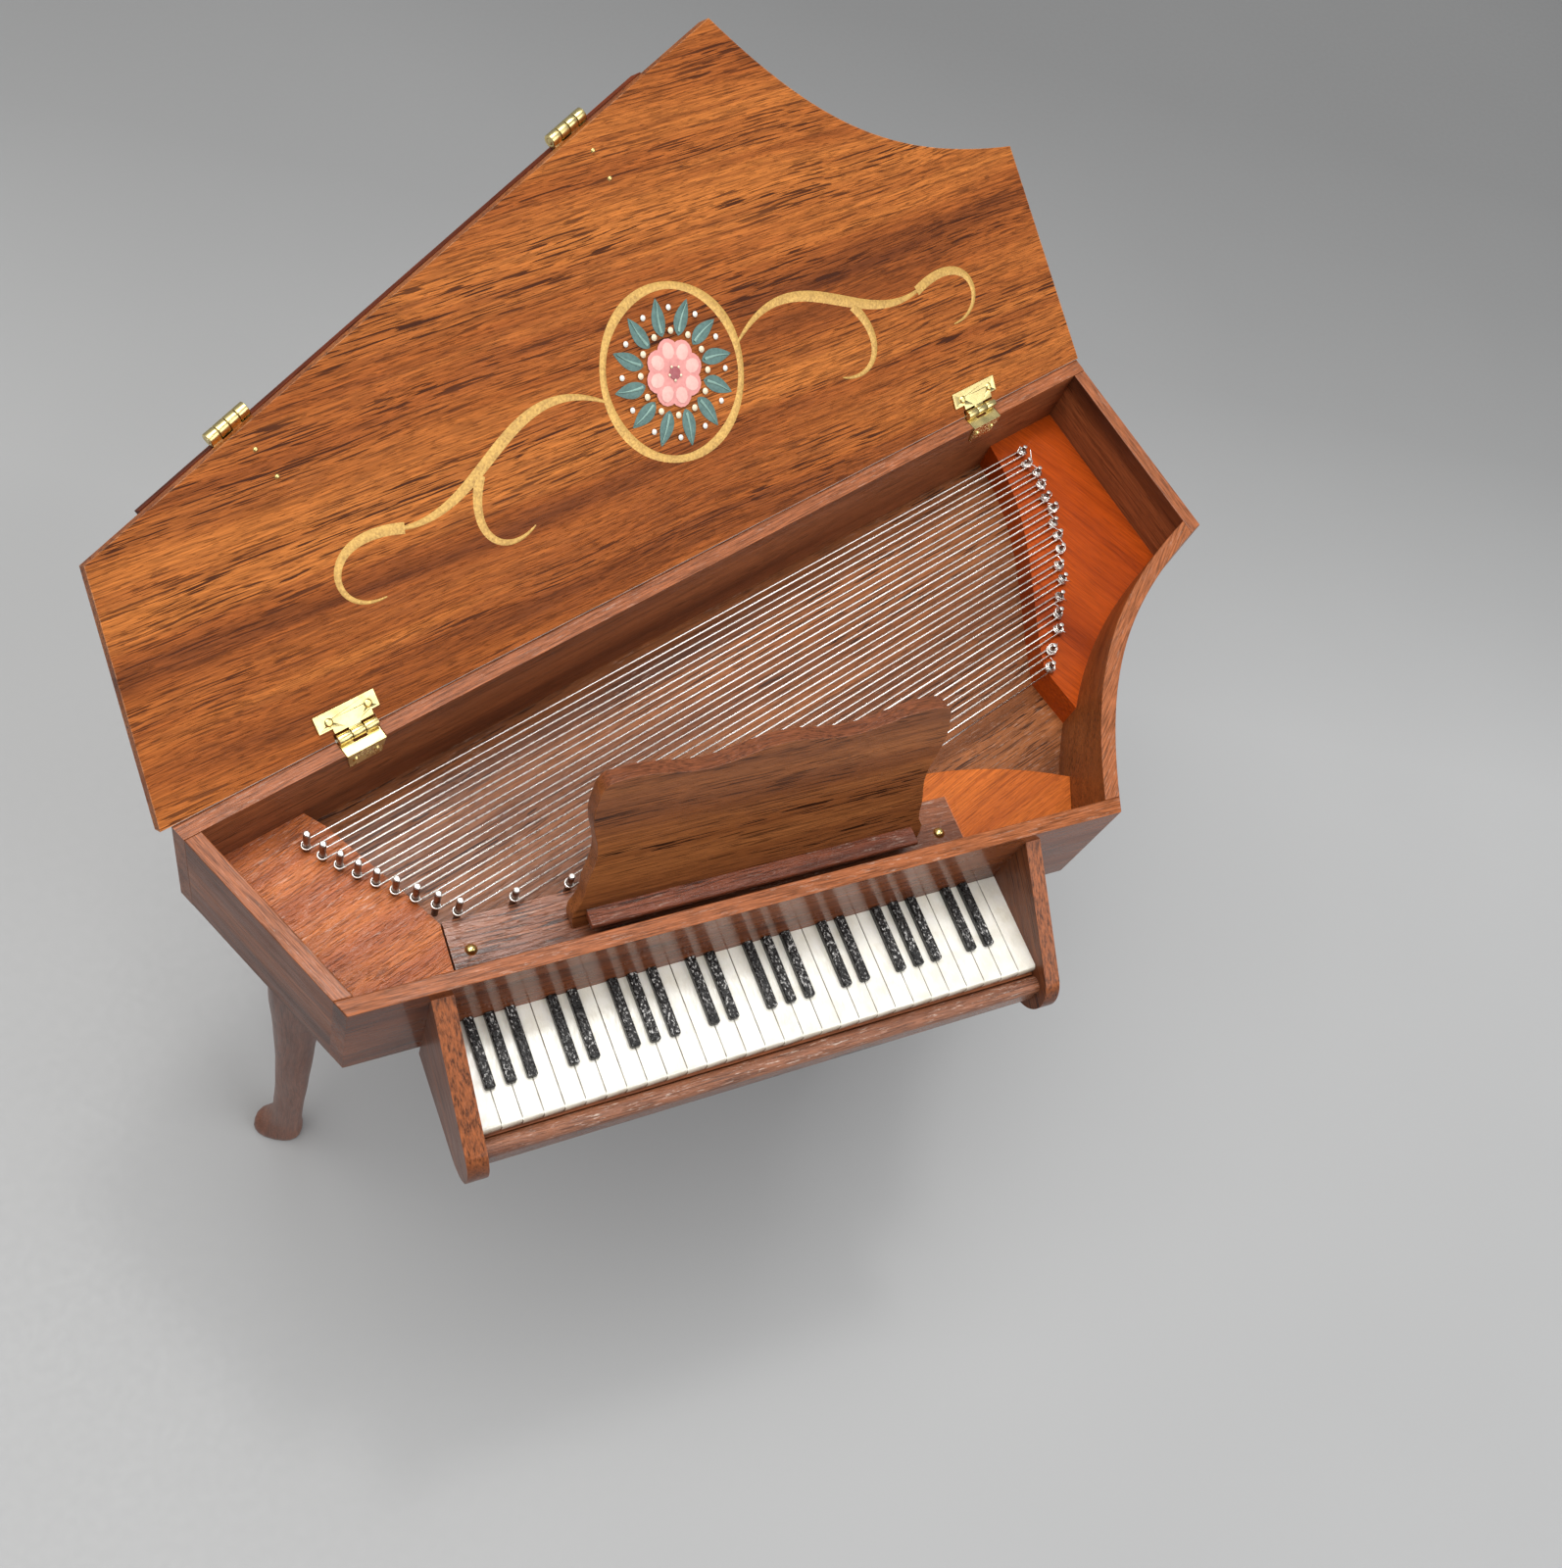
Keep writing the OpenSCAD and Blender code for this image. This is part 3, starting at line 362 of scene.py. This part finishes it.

# glint= sets how much painted highlight is coloured in as pale specks on upward faces
case_kw = dict(rough=0.38, coat=0.10, coat_rough=0.18, top=RIM_TOP, bumpy=0.35, sparkle=0.4, glint=0.22)
dark_side = dict(rough=0.34, coat=0.12, coat_rough=0.14, bumpy=0.35, dash=0.7)
mats = {
    "spine": wood("spine_wood", L_, M_, D_, SPD, seed=1, **case_kw),
    "left_wall": wood("left_wall_wood", L_, M_, D_, (-0.42, 0.91, 0), seed=2, **case_kw),
    "front_wall": wood("front_wall_wood", (0.24, 0.068, 0.022), (0.135, 0.036, 0.013), D_, X, seed=3, rough=0.26, coat=0.30, coat_rough=0.03, spec=0.10, top=RIM_TOP, bumpy=0.14, front_gloss=True, glint=0.3),
    "bentside": wood("bentside_wood", (0.32, 0.098, 0.024), (0.21, 0.060, 0.015), (0.07, 0.021, 0.007), BSIDE, seed=4, **case_kw),
    "tail_wall": wood("tail_wall_wood", L_, M_, D_, (-0.16, 0.987, 0), seed=5, **case_kw),
    "bottom_board": wood("bottom_wood", L_, M_, D_, SPD, seed=6, rough=0.5, coat=0.1),
    "soundboard": wood("soundboard_wood", (0.33, 0.115, 0.038), (0.21, 0.070, 0.024), (0.05, 0.017, 0.009), SPD, seed=7.3, rough=0.30, coat=0.22, coat_rough=0.16, bumpy=0.5, edge=0.0, dash=0.9, sparkle=0.6, glint=0.22),
    "wrest_plank": wood("wrest_wood", (0.58, 0.165, 0.036), (0.41, 0.10, 0.024), (0.16, 0.036, 0.013), (0.75, 0.3, 0), seed=8, rough=0.26, coat=0.4, coat_rough=0.16, bumpy=0.9, dash=0.35, pore=0.9, sparkle=1.4, glint=0.42),
    "front_plank": wood("front_plank_wood", (0.36, 0.13, 0.055), (0.24, 0.08, 0.036), (0.06, 0.021, 0.012), X, seed=9, rough=0.32, coat=0.4, coat_rough=0.16, dash=1.4, bumpy=0.55, sparkle=0.5, glint=0.30),
    "treble_board": wood("treble_wood", (0.60, 0.155, 0.024), (0.46, 0.105, 0.017), (0.26, 0.052, 0.012), (0.9, 0.35, 0), seed=10, rough=0.36, coat=0.1, spec=0.15, dash=0.15, pore=0.6, band=0.8, bumpy=0.35, sparkle=0.4),
    "hitchpin_block": wood("block_wood", (0.45, 0.070, 0.006), (0.36, 0.052, 0.005), (0.22, 0.030, 0.004), (0.5, -0.85, 0), seed=11, rough=0.34, coat=0.06, spec=0.12, coat_rough=0.15, dash=0.0, pore=0.35, band=0.7, bumpy=0.25),
    "keybed": wood("keybed_wood", L_, M_, D_, X, seed=12),
    "key_slip": wood("slip_wood", (0.28, 0.105, 0.050), (0.17, 0.060, 0.031), D_, X, seed=13, rough=0.22, coat=0.5, coat_rough=0.10, bumpy=1.0, sparkle=1.6, dash=0.9, glint=0.65),
    "key_cheek_left": wood("cheek_left_wood", (0.23, 0.072, 0.026), (0.14, 0.041, 0.016), (0.04, 0.012, 0.007), (0, 0.9, 0.4), up=(1, 0, 0), seed=14, top=(40e-3, (0.30, 0.088, 0.026), -1.0), top_scale=(1.1, 4.5, 4.5), top_amt=(0.2, 0.85, 1.3), **dark_side),
    "key_cheek_right": wood("cheek_right_wood", (0.23, 0.072, 0.026), (0.14, 0.041, 0.016), (0.04, 0.012, 0.007), (0, 0.9, 0.4), up=(1, 0, 0), seed=15, top=(40e-3, (0.30, 0.088, 0.026), -1.0), top_scale=(1.1, 4.5, 4.5), top_amt=(0.2, 0.85, 1.3), **dark_side),
    "desk_panel": wood("desk_wood", (0.37, 0.128, 0.038), (0.24, 0.076, 0.023), (0.05, 0.016, 0.007), (1, 0, 0.0), up=(0, -1, 0), seed=16, rough=0.34, coat=0.2, coat_rough=0.16, dash=1.0, band=1.3, bumpy=0.35, top=(40e-3, (0.17, 0.052, 0.022), -1.0)),
    "desk_ledge": wood("ledge_wood", (0.30, 0.085, 0.036), (0.19, 0.052, 0.024), (0.05, 0.016, 0.009), X, seed=17, rough=0.28, coat=0.4, coat_rough=0.12, dash=0.8, bumpy=0.8, sparkle=1.0, glint=0.30),
    "desk_lugs": wood("lug_wood", L_, M_, D_, X, seed=18),
    "desk_brackets": wood("bracket_wood", L_, M_, D_, (0, 0, 1), up=(1, 0, 0), seed=19),
    # the lid's raised, pale edge colour is a painted highlight along its edges
    "main_lid": wood("lid_wood", (0.485, 0.152, 0.030), (0.325, 0.086, 0.016), (0.090, 0.021, 0.006), lid_grain, up=lid_up, seed=20.5, rough=0.42, coat=0.0, spec=0.10, coat_rough=0.25, dash=1.0, pore=0.8, bumpy=0.5, curl=0.05, sparkle=0.5, fine=1.0, edge=0.6, edge_col=(0.72, 0.42, 0.24)),
    "keyboard_flap": wood("flap_wood", (0.27, 0.058, 0.018), (0.16, 0.032, 0.011), D_, flap_grain, up=lid_up, seed=21, rough=0.6, coat=0.0, spec=0.06, edge=0.15),
}
for n in ("leg_left", "leg_right", "leg_tail", "leg_spine"):
    mats[n] = wood(n + "_wood", (0.23, 0.085, 0.045), (0.15, 0.052, 0.028), (0.07, 0.024, 0.014), (0, 0, 1), up=(1, 0, 0), seed=22, rough=0.36, coat=0.2, dash=0.3, edge=0.2)
brass = metal("brass", (0.78, 0.64, 0.29), (0.54, 0.42, 0.16), 0.27, scale=0.5, wear=0.5, bumpy=0.04)
brass_old = metal("brass_nail", (0.86, 0.68, 0.26), (0.35, 0.23, 0.10), 0.24, wear=0.5)
steel = metal("wire", (0.93, 0.91, 0.87), (0.55, 0.52, 0.47), 0.24, wear=0.35)


def pin_metal(name):
    """dark turned pins with bright cut tops"""
    g = G(name)
    v = g.coords()
    a = g.noise(g.coords(src=v, scale=(2, 2, 2)), 1.0, 3.0, 0.6)
    nz = g.sep(g.n("ShaderNodeNewGeometry").outputs["Normal"])[2]
    body = g.ramp(a, [(0.35, (0.16, 0.10, 0.075)), (0.7, (0.34, 0.25, 0.20))])
    col = g.mix(g.range(nz, 0.35, 0.7), body, (0.92, 0.88, 0.82))
    return g.shade(col, g.range(a, 0.3, 0.7, 0.24, 0.42, False), g.bump(a, 0.1, 0.00004), metal=1.0)


pinm = pin_metal("pin_steel")
for n in NODES:
    if n in mats:
        m = mats[n]
    elif n == "natural_keys":
        m = ivory("ivory")
    elif n == "sharp_keys":
        m = black_paint("black_paint")
    elif n == "strings":
        m = steel
    elif n in ("tuning_pins", "hitch_pins"):
        m = pinm
    elif "nails" in n:
        m = brass_old
    else:
        m = brass
    if n.startswith("leg_"):
        finish_node(n, m, bevel=0, smooth_angle=50, subdiv=0)
    elif n in ("strings",):
        finish_node(n, m, bevel=0)
    elif n in ("natural_keys",):
        finish_node(n, m, bevel=0.00003, seg=1, smooth_angle=50)
    elif n == "sharp_keys":
        finish_node(n, m, bevel=0.00006, seg=2)
    elif m in (brass, brass_old, pinm):
        finish_node(n, m, bevel=0.00004, seg=2)
    else:
        finish_node(n, m, bevel=0.00013, seg=3)


# ------------------------------------------------------------------ new pieces
def mesh_obj(name, verts, faces, mat, body, smooth=True):
    me = bpy.data.meshes.new(name)
    me.from_pydata([tuple(v) for v in verts], [], faces)
    me.update()
    o = bpy.data.objects.new(name, me)
    bpy.context.scene.collection.objects.link(o)
    me.materials.append(mat)
    for p in me.polygons:
        p.use_smooth = smooth
    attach(o, body)
    return o


def tube(points, radius, sides=8, closed=False, taper=None):
    """verts and faces of a round wire along points"""
    pts = [Vector(p) for p in points]
    n = len(pts)
    verts, faces = [], []
    up = Vector((0, 0, 1))
    for i, p in enumerate(pts):
        a = pts[(i - 1) % n] if closed or i > 0 else pts[i]
        b = pts[(i + 1) % n] if closed or i < n - 1 else pts[i]
        d = (b - a).normalized()
        if i == 0:
            s = d.cross(up)
            if s.length < 1e-4:
                s = d.cross(Vector((1, 0, 0)))
            s.normalize()
        else:
            s = (s - d * s.dot(d)).normalized()
        t = d.cross(s)
        r = radius * (taper(i / (n - 1)) if taper else 1.0)
        for j in range(sides):
            an = 2 * math.pi * j / sides
            verts.append(p + s * (math.cos(an) * r) + t * (math.sin(an) * r))
    m = n if closed else n - 1
    for i in range(m):
        for j in range(sides):
            a = i * sides + j; b = i * sides + (j + 1) % sides
            c = ((i + 1) % n) * sides + (j + 1) % sides; d_ = ((i + 1) % n) * sides + j
            faces.append((a, b, c, d_))
    if not closed:
        faces.append(tuple(range(sides - 1, -1, -1)))
        faces.append(tuple((n - 1) * sides + j for j in range(sides)))
    return verts, faces


def join(parts):
    V, F = [], []
    for v, f in parts:
        o = len(V)
        V += v
        F += [tuple(i + o for i in q) for q in f]
    return V, F


# tuning and hitch pin places, as in the CAD
def pin_q(i): return 2.40 + 0.79 * (i - 1)
def pin_a(i):
    if i <= 9:
        return 5.15 + 0.33 * (i - 1) + 0.021 * (i - 1) ** 2
    return (4.62 - 10.278 - N.y * pin_q(i)) / E.y
def hitch_q(i): return 2.17 + 0.775 * (i - 1)
def hitch_a(i): return 52.6 - 0.058 * (hitch_q(i) - 1.5) ** 2 + 0.15 * math.sin(math.radians(i * 137))
STR_Z = -3.12 * K

# wire wound on the tuning pins
parts = []
for i in range(1, 17):
    c = SP(pin_a(i), pin_q(i), STR_Z)
    turns = 1.1 + 0.5 * random.random()
    r = 0.32e-3 + 0.06e-3
    n = int(turns * 20)
    ph = random.random() * 6.28
    pts = []
    for k in range(n + 1):
        a = ph + 2 * math.pi * turns * k / n
        z = -0.20e-3 - 0.15e-3 * turns * k / n + 0.05e-3
        pts.append(c + Vector((math.cos(a) * r, math.sin(a) * r, z)))
    parts.append(tube(pts, 0.055e-3, 8))
V, F = join(parts)
mesh_obj("tuning_pin_windings", V, F, steel, "case")

# untidy knots and cut ends of wire on the hitch pins
parts = []
for i in range(1, 17):
    c = SP(hitch_a(i), hitch_q(i), STR_Z)
    rnd = random.Random(100 + i)
    turns = 3.2 + rnd.random() * 1.6
    n = int(turns * 18)
    ph = rnd.random() * 6.28
    tilt = Vector((rnd.uniform(-0.35, 0.35), rnd.uniform(-0.35, 0.35), 1))
    pts = []
    for k in range(n + 1):
        f = k / n
        a = ph + 2 * math.pi * turns * f
        rr = (0.40 + 0.10 * math.sin(a * 0.7 + i) + 0.05 * rnd.random()) * 1e-3
        q = Vector((math.cos(a) * rr, math.sin(a) * rr, 0))
        z = (-0.10 + 0.62 * f) * 1e-3 - (q.x * tilt.x + q.y * tilt.y) * 0.9
        pts.append(c + Vector((q.x, q.y, z)))
    parts.append(tube(pts, 0.065e-3, 7))
    # cut tail
    an = ph + 2 * math.pi * turns + rnd.uniform(-0.5, 0.5)
    p0 = pts[-1]
    L = rnd.uniform(0.5, 1.3) * 1e-3
    tail = [p0]
    dx, dy, dz = math.cos(an + 1.5), math.sin(an + 1.5), rnd.uniform(0.1, 0.8)
    for k in range(1, 9):
        f = k / 8
        tail.append(p0 + Vector((dx * L * f, dy * L * f, dz * L * f - 0.35 * L * f * f)))
    parts.append(tube(tail, 0.06e-3, 7, taper=lambda f: 1.0 - 0.35 * f))
V, F = join(parts)
mesh_obj("hitch_pin_knots", V, F, steel, "case")

# ------------------------------------------------------------------ painted decoration on the lid, slightly raised
gold = paint("gold_paint", (0.60, 0.36, 0.085), (0.30, 0.15, 0.035), 0.42, 0.40, 0.75, 0.5, 4.0)
leafm = paint("leaf_paint", (0.085, 0.175, 0.155), (0.03, 0.07, 0.065), 0.55, 0.0, 0.6)
leaf2 = paint("leaf_vein_paint", (0.22, 0.36, 0.31), (0.10, 0.2, 0.17), 0.55, 0.0, 0.4)
rose = paint("rose_paint", (0.36, 0.085, 0.095), (0.20, 0.035, 0.045), 0.5, 0.0, 0.5)
pink = paint("pink_paint", (0.72, 0.29, 0.26), (0.5, 0.15, 0.15), 0.5, 0.0, 0.45)
blush = paint("blush_paint", (0.80, 0.46, 0.40), (0.66, 0.28, 0.26), 0.5, 0.0, 0.4)
cream = paint("cream_paint", (0.82, 0.72, 0.52), (0.60, 0.42, 0.24), 0.5, 0.0, 0.3)
white = paint("white_paint", (0.80, 0.80, 0.74), (0.55, 0.56, 0.50), 0.5, 0.0, 0.3)


def ribbon(curve, width, up=0.00004, edge_h=0.0):
    """a domed brush stroke along curve [(a, b)] in key pitches; width is a function of 0..1 in key pitches"""
    pts = [Vector((a, b)) for a, b in curve]
    n = len(pts)
    verts, faces = [], []
    rows = 5
    for i, p in enumerate(pts):
        d = (pts[min(i + 1, n - 1)] - pts[max(i - 1, 0)]).normalized()
        s = Vector((-d.y, d.x))
        w = width(i / (n - 1)) * 0.5
        for j in range(rows):
            f = (j / (rows - 1)) * 2 - 1
            q = p + s * (w * f)
            h = up * (1 - f * f) + edge_h - (0.00001 if abs(f) == 1 else 0)
            verts.append(lid_pt(q.x, q.y, h))
    for i in range(n - 1):
        for j in range(rows - 1):
            a = i * rows + j
            faces.append((a, a + rows, a + rows + 1, a + 1))
    return verts, faces


def spiral(c, r0, r1, a0, a1, n=40):
    out = []
    for k in range(n + 1):
        f = k / n
        a = math.radians(a0 + (a1 - a0) * f)
        r = r0 + (r1 - r0) * f
        out.append((c[0] + r * math.cos(a), c[1] + r * math.sin(a)))
    return out


def bez2(p, n=40):
    p = [Vector(q) for q in p]
    out = []
    for k in range(n + 1):
        s = k / n
        q = p[0] * (1 - s) ** 3 + p[1] * 3 * s * (1 - s) ** 2 + p[2] * 3 * s * s * (1 - s) + p[3] * s ** 3
        out.append((q.x, q.y))
    return out


def blob(c, r, up=0.0001, n=14, sq=1.0, rot=0.0, base=0.00002):
    """small domed dab of paint"""
    verts = []; faces = []
    rings = 3
    for k in range(rings + 1):
        f = k / rings
        rr = r * f
        h = base + up * (1 - f * f)
        if k == 0:
            verts.append(lid_pt(c[0], c[1], h)); continue
        for j in range(n):
            a = 2 * math.pi * j / n
            x = rr * math.cos(a); y = rr * math.sin(a) * sq
            verts.append(lid_pt(c[0] + x * math.cos(rot) - y * math.sin(rot), c[1] + x * math.sin(rot) + y * math.cos(rot), h))
    for j in range(n):
        faces.append((0, 1 + j, 1 + (j + 1) % n))
    for k in range(1, rings):
        for j in range(n):
            a = 1 + (k - 1) * n + j; b = 1 + (k - 1) * n + (j + 1) % n
            faces.append((a, a + n, b + n, b))
    return verts, faces


CEN = (31.0, 8.6)
RR = 4.0
parts = [ribbon(spiral(CEN, RR, RR, 0, 360, 90), lambda f: 0.40 + 0.17 * math.sin(f * 12.566 + 0.7) ** 2)]
W1 = lambda f: 0.12 + 0.50 * math.sin(math.pi * min(1.0, f * 1.03)) ** 0.8
W2 = lambda f: 0.52 * (1 - f) ** 0.7 + 0.07
# one plain scroll with a curl and a branch, mirrored left and right of the ring
for sg in (-1, 1):
    for pts, wd in (([(4.0, 8.6), (9.0, 12.2), (12.0, 5.6), (17.0, 7.6)], W1),
                    ([(16.0, 7.3), (20.4, 8.8), (21.0, 4.8), (18.0, 4.9)], W2),
                    ([(11.6, 8.0), (13.4, 5.6), (11.8, 4.0), (9.8, 4.9)], W2)):
        parts.append(ribbon(bez2([(CEN[0] + sg * x, y) for x, y in pts], 50), wd))
V, F = join(parts)
mesh_obj("lid_scrolls", V, F, gold, "lid")


def leaf(c, ang, length, width, seed):
    rnd = random.Random(seed)
    verts, faces = [], []
    n, rows = 14, 7
    bend = rnd.uniform(-0.25, 0.25)
    for i in range(n + 1):
        f = i / n
        w = width * math.sin(math.pi * f ** 0.8) ** 0.9 * 0.5 + 0.01
        x = f * length; y0 = bend * length * f * f
        for j in range(rows):
            g_ = (j / (rows - 1)) * 2 - 1
            h = 0.00004 + 0.00007 * (1 - g_ * g_) * math.sin(math.pi * f) - (0.00005 if j == rows // 2 else 0)
            y = y0 + w * g_
            verts.append(lid_pt(c[0] + x * math.cos(ang) - y * math.sin(ang), c[1] + x * math.sin(ang) + y * math.cos(ang), h))
    for i in range(n):
        for j in range(rows - 1):
            a = i * rows + j
            faces.append((a, a + rows, a + rows + 1, a + 1))
    vein = [(c[0] + (0.1 + 0.8 * f) * length * math.cos(ang) - bend * length * f * f * math.sin(ang),
             c[1] + (0.1 + 0.8 * f) * length * math.sin(ang) + bend * length * f * f * math.cos(ang)) for f in [k / 10 for k in range(11)]]
    return (verts, faces), ribbon(vein, lambda f: 0.13 * (1 - f) + 0.03, 0.00005, 0.00011)


lv, vv = [], []
for k in range(12):
    an = math.radians(k * 30)
    a, b = leaf((CEN[0] + 1.75 * math.cos(an), CEN[1] + 1.75 * math.sin(an)), an, 1.75, 0.75, 4)
    lv.append(a); vv.append(b)
V, F = join(lv); mesh_obj("lid_leaves", V, F, leafm, "lid")
V, F = join(vv); mesh_obj("lid_leaf_veins", V, F, leaf2, "lid")


def flower(c, r, rot, petals=5):
    """round petals, then lighter strokes, then a dark middle"""
    out, strokes = [], []
    for k in range(petals):
        a = rot + 2 * math.pi * k / petals
        pc = (c[0] + r * 0.56 * math.cos(a), c[1] + r * 0.56 * math.sin(a))
        out.append(blob(pc, r * 0.50, 0.00010, 16, 0.86, a, 0.00014))
        strokes.append(blob((c[0] + r * 0.68 * math.cos(a), c[1] + r * 0.68 * math.sin(a)), r * 0.27, 0.00006, 12, 0.8, a, 0.00022))
    return out, strokes


rose_p, pink_p, blush_p = [], [], []
spots = [(CEN, 1.55, 0.0, "pink")]
for c, r, ro, kind in spots:
    o, s = flower(c, r, ro, 8)
    if kind == "pink":
        pink_p += o; blush_p += s
    else:
        rose_p += o; pink_p += s
    rose_p.append(blob(c, r * 0.2, 0.00006, 12, 1.0, 0, 0.00026))
V, F = join(rose_p); mesh_obj("lid_roses", V, F, rose, "lid")
V, F = join(pink_p); mesh_obj("lid_pinks", V, F, pink, "lid")
V, F = join(blush_p); mesh_obj("lid_blush", V, F, blush, "lid")
cr, wh = [], []
for k in range(12):
    a = math.radians(15 + 30 * k)
    cr.append(blob((CEN[0] + 1.95 * math.cos(a), CEN[1] + 1.95 * math.sin(a)), 0.16, 0.00014, 10, 1.0, 0, 0.00018))
for c, r, ro, kind in spots:
    for k in range(5):
        a = ro + k * 1.256 + 0.6
        cr.append(blob((c[0] + 0.22 * r * math.cos(a), c[1] + 0.22 * r * math.sin(a)), 0.07, 0.00008, 8, 1.0, 0, 0.0003))
V, F = join(cr); mesh_obj("lid_buds", V, F, cream, "lid")
for k in range(12):
    a = math.radians(15 + 30 * k)
    wh.append(blob((CEN[0] + 3.0 * math.cos(a), CEN[1] + 3.0 * math.sin(a)), 0.14, 0.00012, 10, 1.0, 0, 0.00018))
V, F = join(wh); mesh_obj("lid_sprig", V, F, white, "lid")

# clenched points of the flap hinge nails on the lid's inner face
V, F = [], []
for x, y in ((8.63, 1.0), (8.63, 2.4), (29.95, 1.0), (29.95, 2.4)):
    b0 = len(V)
    V.append(OPEN @ (P(x, y) + Vector((0, 0, LID_Z - 0.18e-3))))
    for k in range(1, 5):
        f = k / 4
        zz = LID_Z - 0.18e-3 * math.sqrt(1 - f * f) + (0.01e-3 if k == 4 else 0.0)
        for j in range(14):
            a_ = 2 * math.pi * j / 14
            V.append(OPEN @ (P(x, y) + Vector((0.27e-3 * f * math.cos(a_), 0.23e-3 * f * math.sin(a_), zz))))
    for j in range(14):
        F.append((b0, b0 + 1 + (j + 1) % 14, b0 + 1 + j))
    for k in range(3):
        r0, r1 = b0 + 1 + 14 * k, b0 + 15 + 14 * k
        for j in range(14):
            j1 = (j + 1) % 14
            F.append((r0 + j, r0 + j1, r1 + j1, r1 + j))
mesh_obj("lid_nail_points", V, F, brass_old, "lid")

# ------------------------------------------------------------------ floor, light, camera
g = G("floor_paper")
v = g.coords(scale=(1, 1, 1))
a = g.noise(g.coords(src=v, scale=(9, 9, 9)), 1.0, 3.0, 0.5)
b = g.noise(g.coords(src=v, scale=(900, 900, 900)), 1.0, 3.0, 0.6)
col = g.ramp(a, [(0.3, (0.352, 0.355, 0.357)), (0.7, (0.374, 0.377, 0.379))])
fx = g.sep(v)
# painted shade: the floor's colour darkens towards the back and right, standing in for the lamps' fall-off
far = g.math("ADD", fx[1], g.math("MULTIPLY", fx[0], 0.5))
col = g.mix(1.0, col, g.ramp(g.range(far, 0.0, 0.4, 0.0, 1.0, False), [(0.14, 1.0), (0.34, 0.66), (0.55, 0.50), (1.0, 0.42)]), "MULTIPLY")
g.shade(col, g.range(b, 0.3, 0.7, 0.42, 0.55, False), g.bump(b, 0.05, 0.0001), spec=0.4)
me = bpy.data.meshes.new("floor")
bm = bmesh.new()
bmesh.ops.create_grid(bm, x_segments=24, y_segments=24, size=1.5)
bm.to_mesh(me); bm.free()
floor = bpy.data.objects.new("floor", me)
bpy.context.scene.collection.objects.link(floor)
me.materials.append(g.m)
floor.location = (0, 0, -0.00002)

cam = bpy.data.cameras.new("cam")
co = bpy.data.objects.new("cam", cam)
bpy.context.scene.collection.objects.link(co)
R = [(0.91895353, -0.33837157, 0.20255641), (-0.23284308, -0.88007858, -0.41381856), (0.31828999, 0.33311616, -0.88753879)]
right, down, fwd = (Vector(r) for r in R)
M = Matrix((right, -down, -fwd)).transposed().to_4x4()
M.translation = P(-8.04666768, -21.10006853, 62.67312151)
co.matrix_world = M
cam.sensor_fit = "AUTO"; cam.sensor_width = 36.0
cam.lens = 36.0 * 1609.194 / 1600.0
cam.shift_x = (797.0 - 661.18) / 1600.0
cam.shift_y = (902.36 - 800.0) / 1600.0
cam.clip_start = 0.005; cam.clip_end = 10
cam.dof.use_dof = False
bpy.context.scene.camera = co
bpy.context.scene.view_settings.view_transform = "Standard"


def area(name, loc, target, size, power, color=(1, 1, 1), size_y=None):
    l = bpy.data.lights.new(name, "AREA")
    l.shape = "RECTANGLE"; l.size = size; l.size_y = size_y or size
    l.energy = power; l.color = color
    o = bpy.data.objects.new(name, l)
    bpy.context.scene.collection.objects.link(o)
    o.location = loc
    o.rotation_euler = (Vector(target) - Vector(loc)).to_track_quat("-Z", "Y").to_euler()
    return o


area("key", (-0.30, 0.02, 0.90), (0, 0, 0.03), 0.75, 6.2, (1.0, 0.985, 0.96))
area("fill", (0.55, -0.62, 0.66), (0, 0, 0.03), 0.85, 5.6, (0.98, 0.985, 1.0))
area("top", (0.15, 0.30, 0.98), (-0.02, -0.01, 0.03), 0.55, 2.6, (1.0, 1.0, 1.0), 0.45)
area("glint", (0.10, 0.27, 0.95), (-0.02, -0.01, 0.03), 0.10, 1.1, (1.0, 0.99, 0.97))
wld = bpy.data.worlds.new("studio"); bpy.context.scene.world = wld
wld.use_nodes = True
bg = wld.node_tree.nodes["Background"]
bg.inputs[0].default_value = (0.78, 0.79, 0.8, 1)
bg.inputs[1].default_value = 0.42
